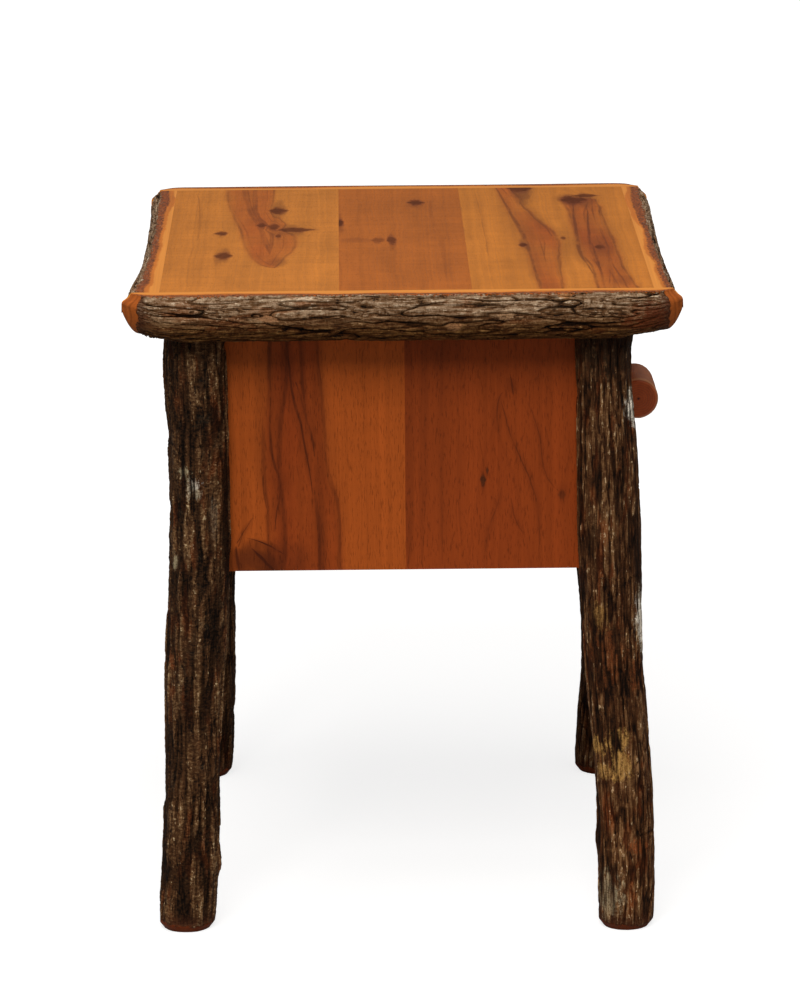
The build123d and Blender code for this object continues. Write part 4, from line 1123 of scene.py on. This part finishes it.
bark_log_side = bark(
    "bark_log_side", "Y", LOG_BROWN, seed=43.0, painted_highlight_share=0.6, bare=SANDED_RED, bare_reach=14.0,
    painted_light_heights=LOG_PAINTED_LIGHT, scaly=0.25, shine=LOG_SHINE, crack=0.85,
    patches=[((-300, 122, 591), 8, 10, TAN_PINK, 0.8), ((-295, -149, 607), 5, 8, TAN_BRIGHT, 1.0),
             ((-301, -46, 582), 6, 9, TAN_DULL, 0.8), ((-303, -93, 590), 5, 9, TAN_GREY, 0.8),
             ((-302, -226, 584), 16, 28, RUST_BROWN, 0.95), ((-301, -236, 592), 17, 22, RUST_DARK, 0.95),
             ((-300, 238, 586), 12, 14, RUST_WARM, 0.7)])
bark_log_end = bark(
    "bark_log_end", "X", LOG_BROWN, seed=53.0, painted_highlight_share=1.0, moss=0.4, painted_light_heights=LOG_PAINTED_LIGHT, scaly=0.35,
    shine=LOG_SHINE, crack=0.75)
bark_log_far = bark(
    "bark_log_far", "Y", LOG_BROWN, seed=63.0, painted_highlight_share=0.9, moss=0.3, bare_reach=3.0, painted_light_heights=LOG_PAINTED_LIGHT,
    scaly=0.3, shine=LOG_SHINE, crack=0.75)

# A style is the spacing, length and depth of the furrows, how open they are and how long a bead of bark is,
# in metres but for the openness.
PLATED = (0.0076, 0.064, 0.0026, 0.15, 0.0060)
BEADED = (0.0080, 0.072, 0.0030, 0.62, 0.0042)
FIBROUS = (0.0052, 0.064, 0.0020, 0.52, 0.0090)

leg("back_left", -1, 1, BEADED, bark_back_left, seed=11, checks=(464, 128),
    knobs=[((-262, 178, 62), 11, 3.5), ((-276, 194, 312), 8, 1.5), ((-262, 214, 410), 85, 2.2),
           ((-256, 214, 595), 55, -5.0), ((-258, 166, 560), 50, 1.8), ((-256, 163, 405), 62, -3.6)])
leg("front_left", -1, -1, FIBROUS, bark_front_left, seed=12, checks=(92,),
    knobs=[((-276, -182, 184), 6, 1.5), ((-262, -178, 82), 12, 2.5), ((-250, -230, 592), 50, 6.4)])
leg("back_right", 1, 1, BEADED, bark_back_right, seed=13, knobs=[((284, 215, 255), 11, 2.5)])
leg("front_right", 1, -1, FIBROUS, bark_front_right, seed=14, knobs=[((280, -225, 300), 11, 2.5)])

split_log("left", 1, 0, -board_half, -1, PLATED, bark_log_side, tapers=((0.060, 0.0125), (0.062, 0.0140)),
          seed=21, knobs=[((-297, -149, 606), 6, 1.2)], sag=0.0036)
split_log("right", 1, 0, board_half, 1, PLATED, bark_log_far, tapers=((0.045, 0.008), (0.050, 0.010)),
          seed=22)
split_log("front", 0, 1, panel_front, -1, PLATED, bark_log_end, seed=23, proud=0.0012,
          knobs=[((-274, -246, 570), 34, -11.0), ((274, -246, 570), 34, -11.0), ((160, -255, 592), 110, 1.6),
                 ((266, -255, 590), 50, 3.0)])
split_log("back", 0, 1, panel_back, 1, PLATED, bark_log_end, seed=24, proud=0.0010,
          knobs=[((-235, 252, 592), 90, 3.4), ((270, 251, 592), 34, 1.4), ((-274, 246, 568), 20, -4.0)])
handle(peeled_branch())


# ---------------------------------------------------------------- stage, light and camera
PAPER = tone(1, 1, 1)
ROOM = tone(1.0, 0.98, 0.96)
FLOOR_GREY = tone(0.35, 0.35, 0.35)
LAMP_WARM = (1.0, 0.97, 0.93)


def floor_finish():
    """A pale floor that a camera sees as white paper, with the table's soft shadow."""
    f = Finish("paper_floor")
    grey = f.node("ShaderNodeBsdfDiffuse", inputs={"Color": FLOOR_GREY})
    away = f.vector("LENGTH", f.place, output="Value")
    strength = 0.80 + f.ramp(away, 0.7, 2.2) * 0.2
    glow = f.node("ShaderNodeEmission", inputs={"Color": PAPER, "Strength": strength})
    seen = f.node("ShaderNodeLightPath", output="Is Camera Ray")
    both = f.node("ShaderNodeAddShader", inputs={0: grey, 1: glow})
    f.show(f.node("ShaderNodeMixShader", inputs={0: seen, 1: grey, 2: both}))
    return f


floor_half = 40.0
floor_corners = [(x * floor_half, y * floor_half, 0) for x, y in ((-1, -1), (1, -1), (1, 1), (-1, 1))]
floor_mesh = bpy.data.meshes.new("floor")
floor_mesh.from_pydata(floor_corners, [], [(0, 1, 2, 3)])
floor_mesh.materials.append(floor_finish().material)
floor = bpy.data.objects.new("floor", floor_mesh)
bpy.context.scene.collection.objects.link(floor)

world = bpy.data.worlds.new("studio")
bpy.context.scene.world = world
studio = Finish("studio", holder=world)
room = studio.node("ShaderNodeBackground", inputs={"Color": ROOM, "Strength": 0.20})
paper = studio.node("ShaderNodeBackground", inputs={"Color": PAPER, "Strength": 1.0})
camera_ray = studio.node("ShaderNodeLightPath", output="Is Camera Ray")
studio.show(studio.node("ShaderNodeMixShader", inputs={0: camera_ray, 1: room, 2: paper}),
            "ShaderNodeOutputWorld")


def lamp(name, place, target, size, power):
    """A square soft light that points at a target."""
    light = bpy.data.lights.new(name, "AREA")
    light.size = size
    light.energy = power
    light.color = LAMP_WARM
    holder = bpy.data.objects.new(name, light)
    holder.location = place
    holder.rotation_euler = (Vector(target) - Vector(place)).to_track_quat("-Z", "Y").to_euler()
    bpy.context.scene.collection.objects.link(holder)


lamp("overhead_softbox", place=(-0.6, 0.2, 3.4), target=(0.0, 0.0, 0.5), size=2.4, power=62)
lamp("front_softbox", place=(-3.35, 0.5, 3.35), target=(0.0, 0.0, 0.35), size=1.9, power=98)

camera_place = Vector((-4.8452, 0.0537, 1.4847))
camera_turn, camera_tilt, camera_roll = (math.radians(angle) for angle in (-0.630, 13.105, -0.4207))
frame_width_px = 800
focal_px = 5100
ahead = Vector((math.cos(camera_tilt) * math.cos(camera_turn), math.cos(camera_tilt) * math.sin(camera_turn),
                -math.sin(camera_tilt)))
right = ahead.cross(Vector((0, 0, 1))).normalized()
up = right.cross(ahead)
rolled_right = right * math.cos(camera_roll) + up * math.sin(camera_roll)
rolled_up = up * math.cos(camera_roll) - right * math.sin(camera_roll)
lens = bpy.data.cameras.new("camera")
lens.sensor_fit = "HORIZONTAL"
lens.sensor_width = 36.0
lens.lens = lens.sensor_width * focal_px / frame_width_px
lens.clip_end = 200
camera = bpy.data.objects.new("camera", lens)
turned = Matrix((rolled_right, rolled_up, -ahead)).transposed().to_4x4()
camera.matrix_world = Matrix.Translation(camera_place) @ turned
bpy.context.scene.collection.objects.link(camera)
bpy.context.scene.camera = camera
bpy.context.scene.view_settings.view_transform = "Standard"
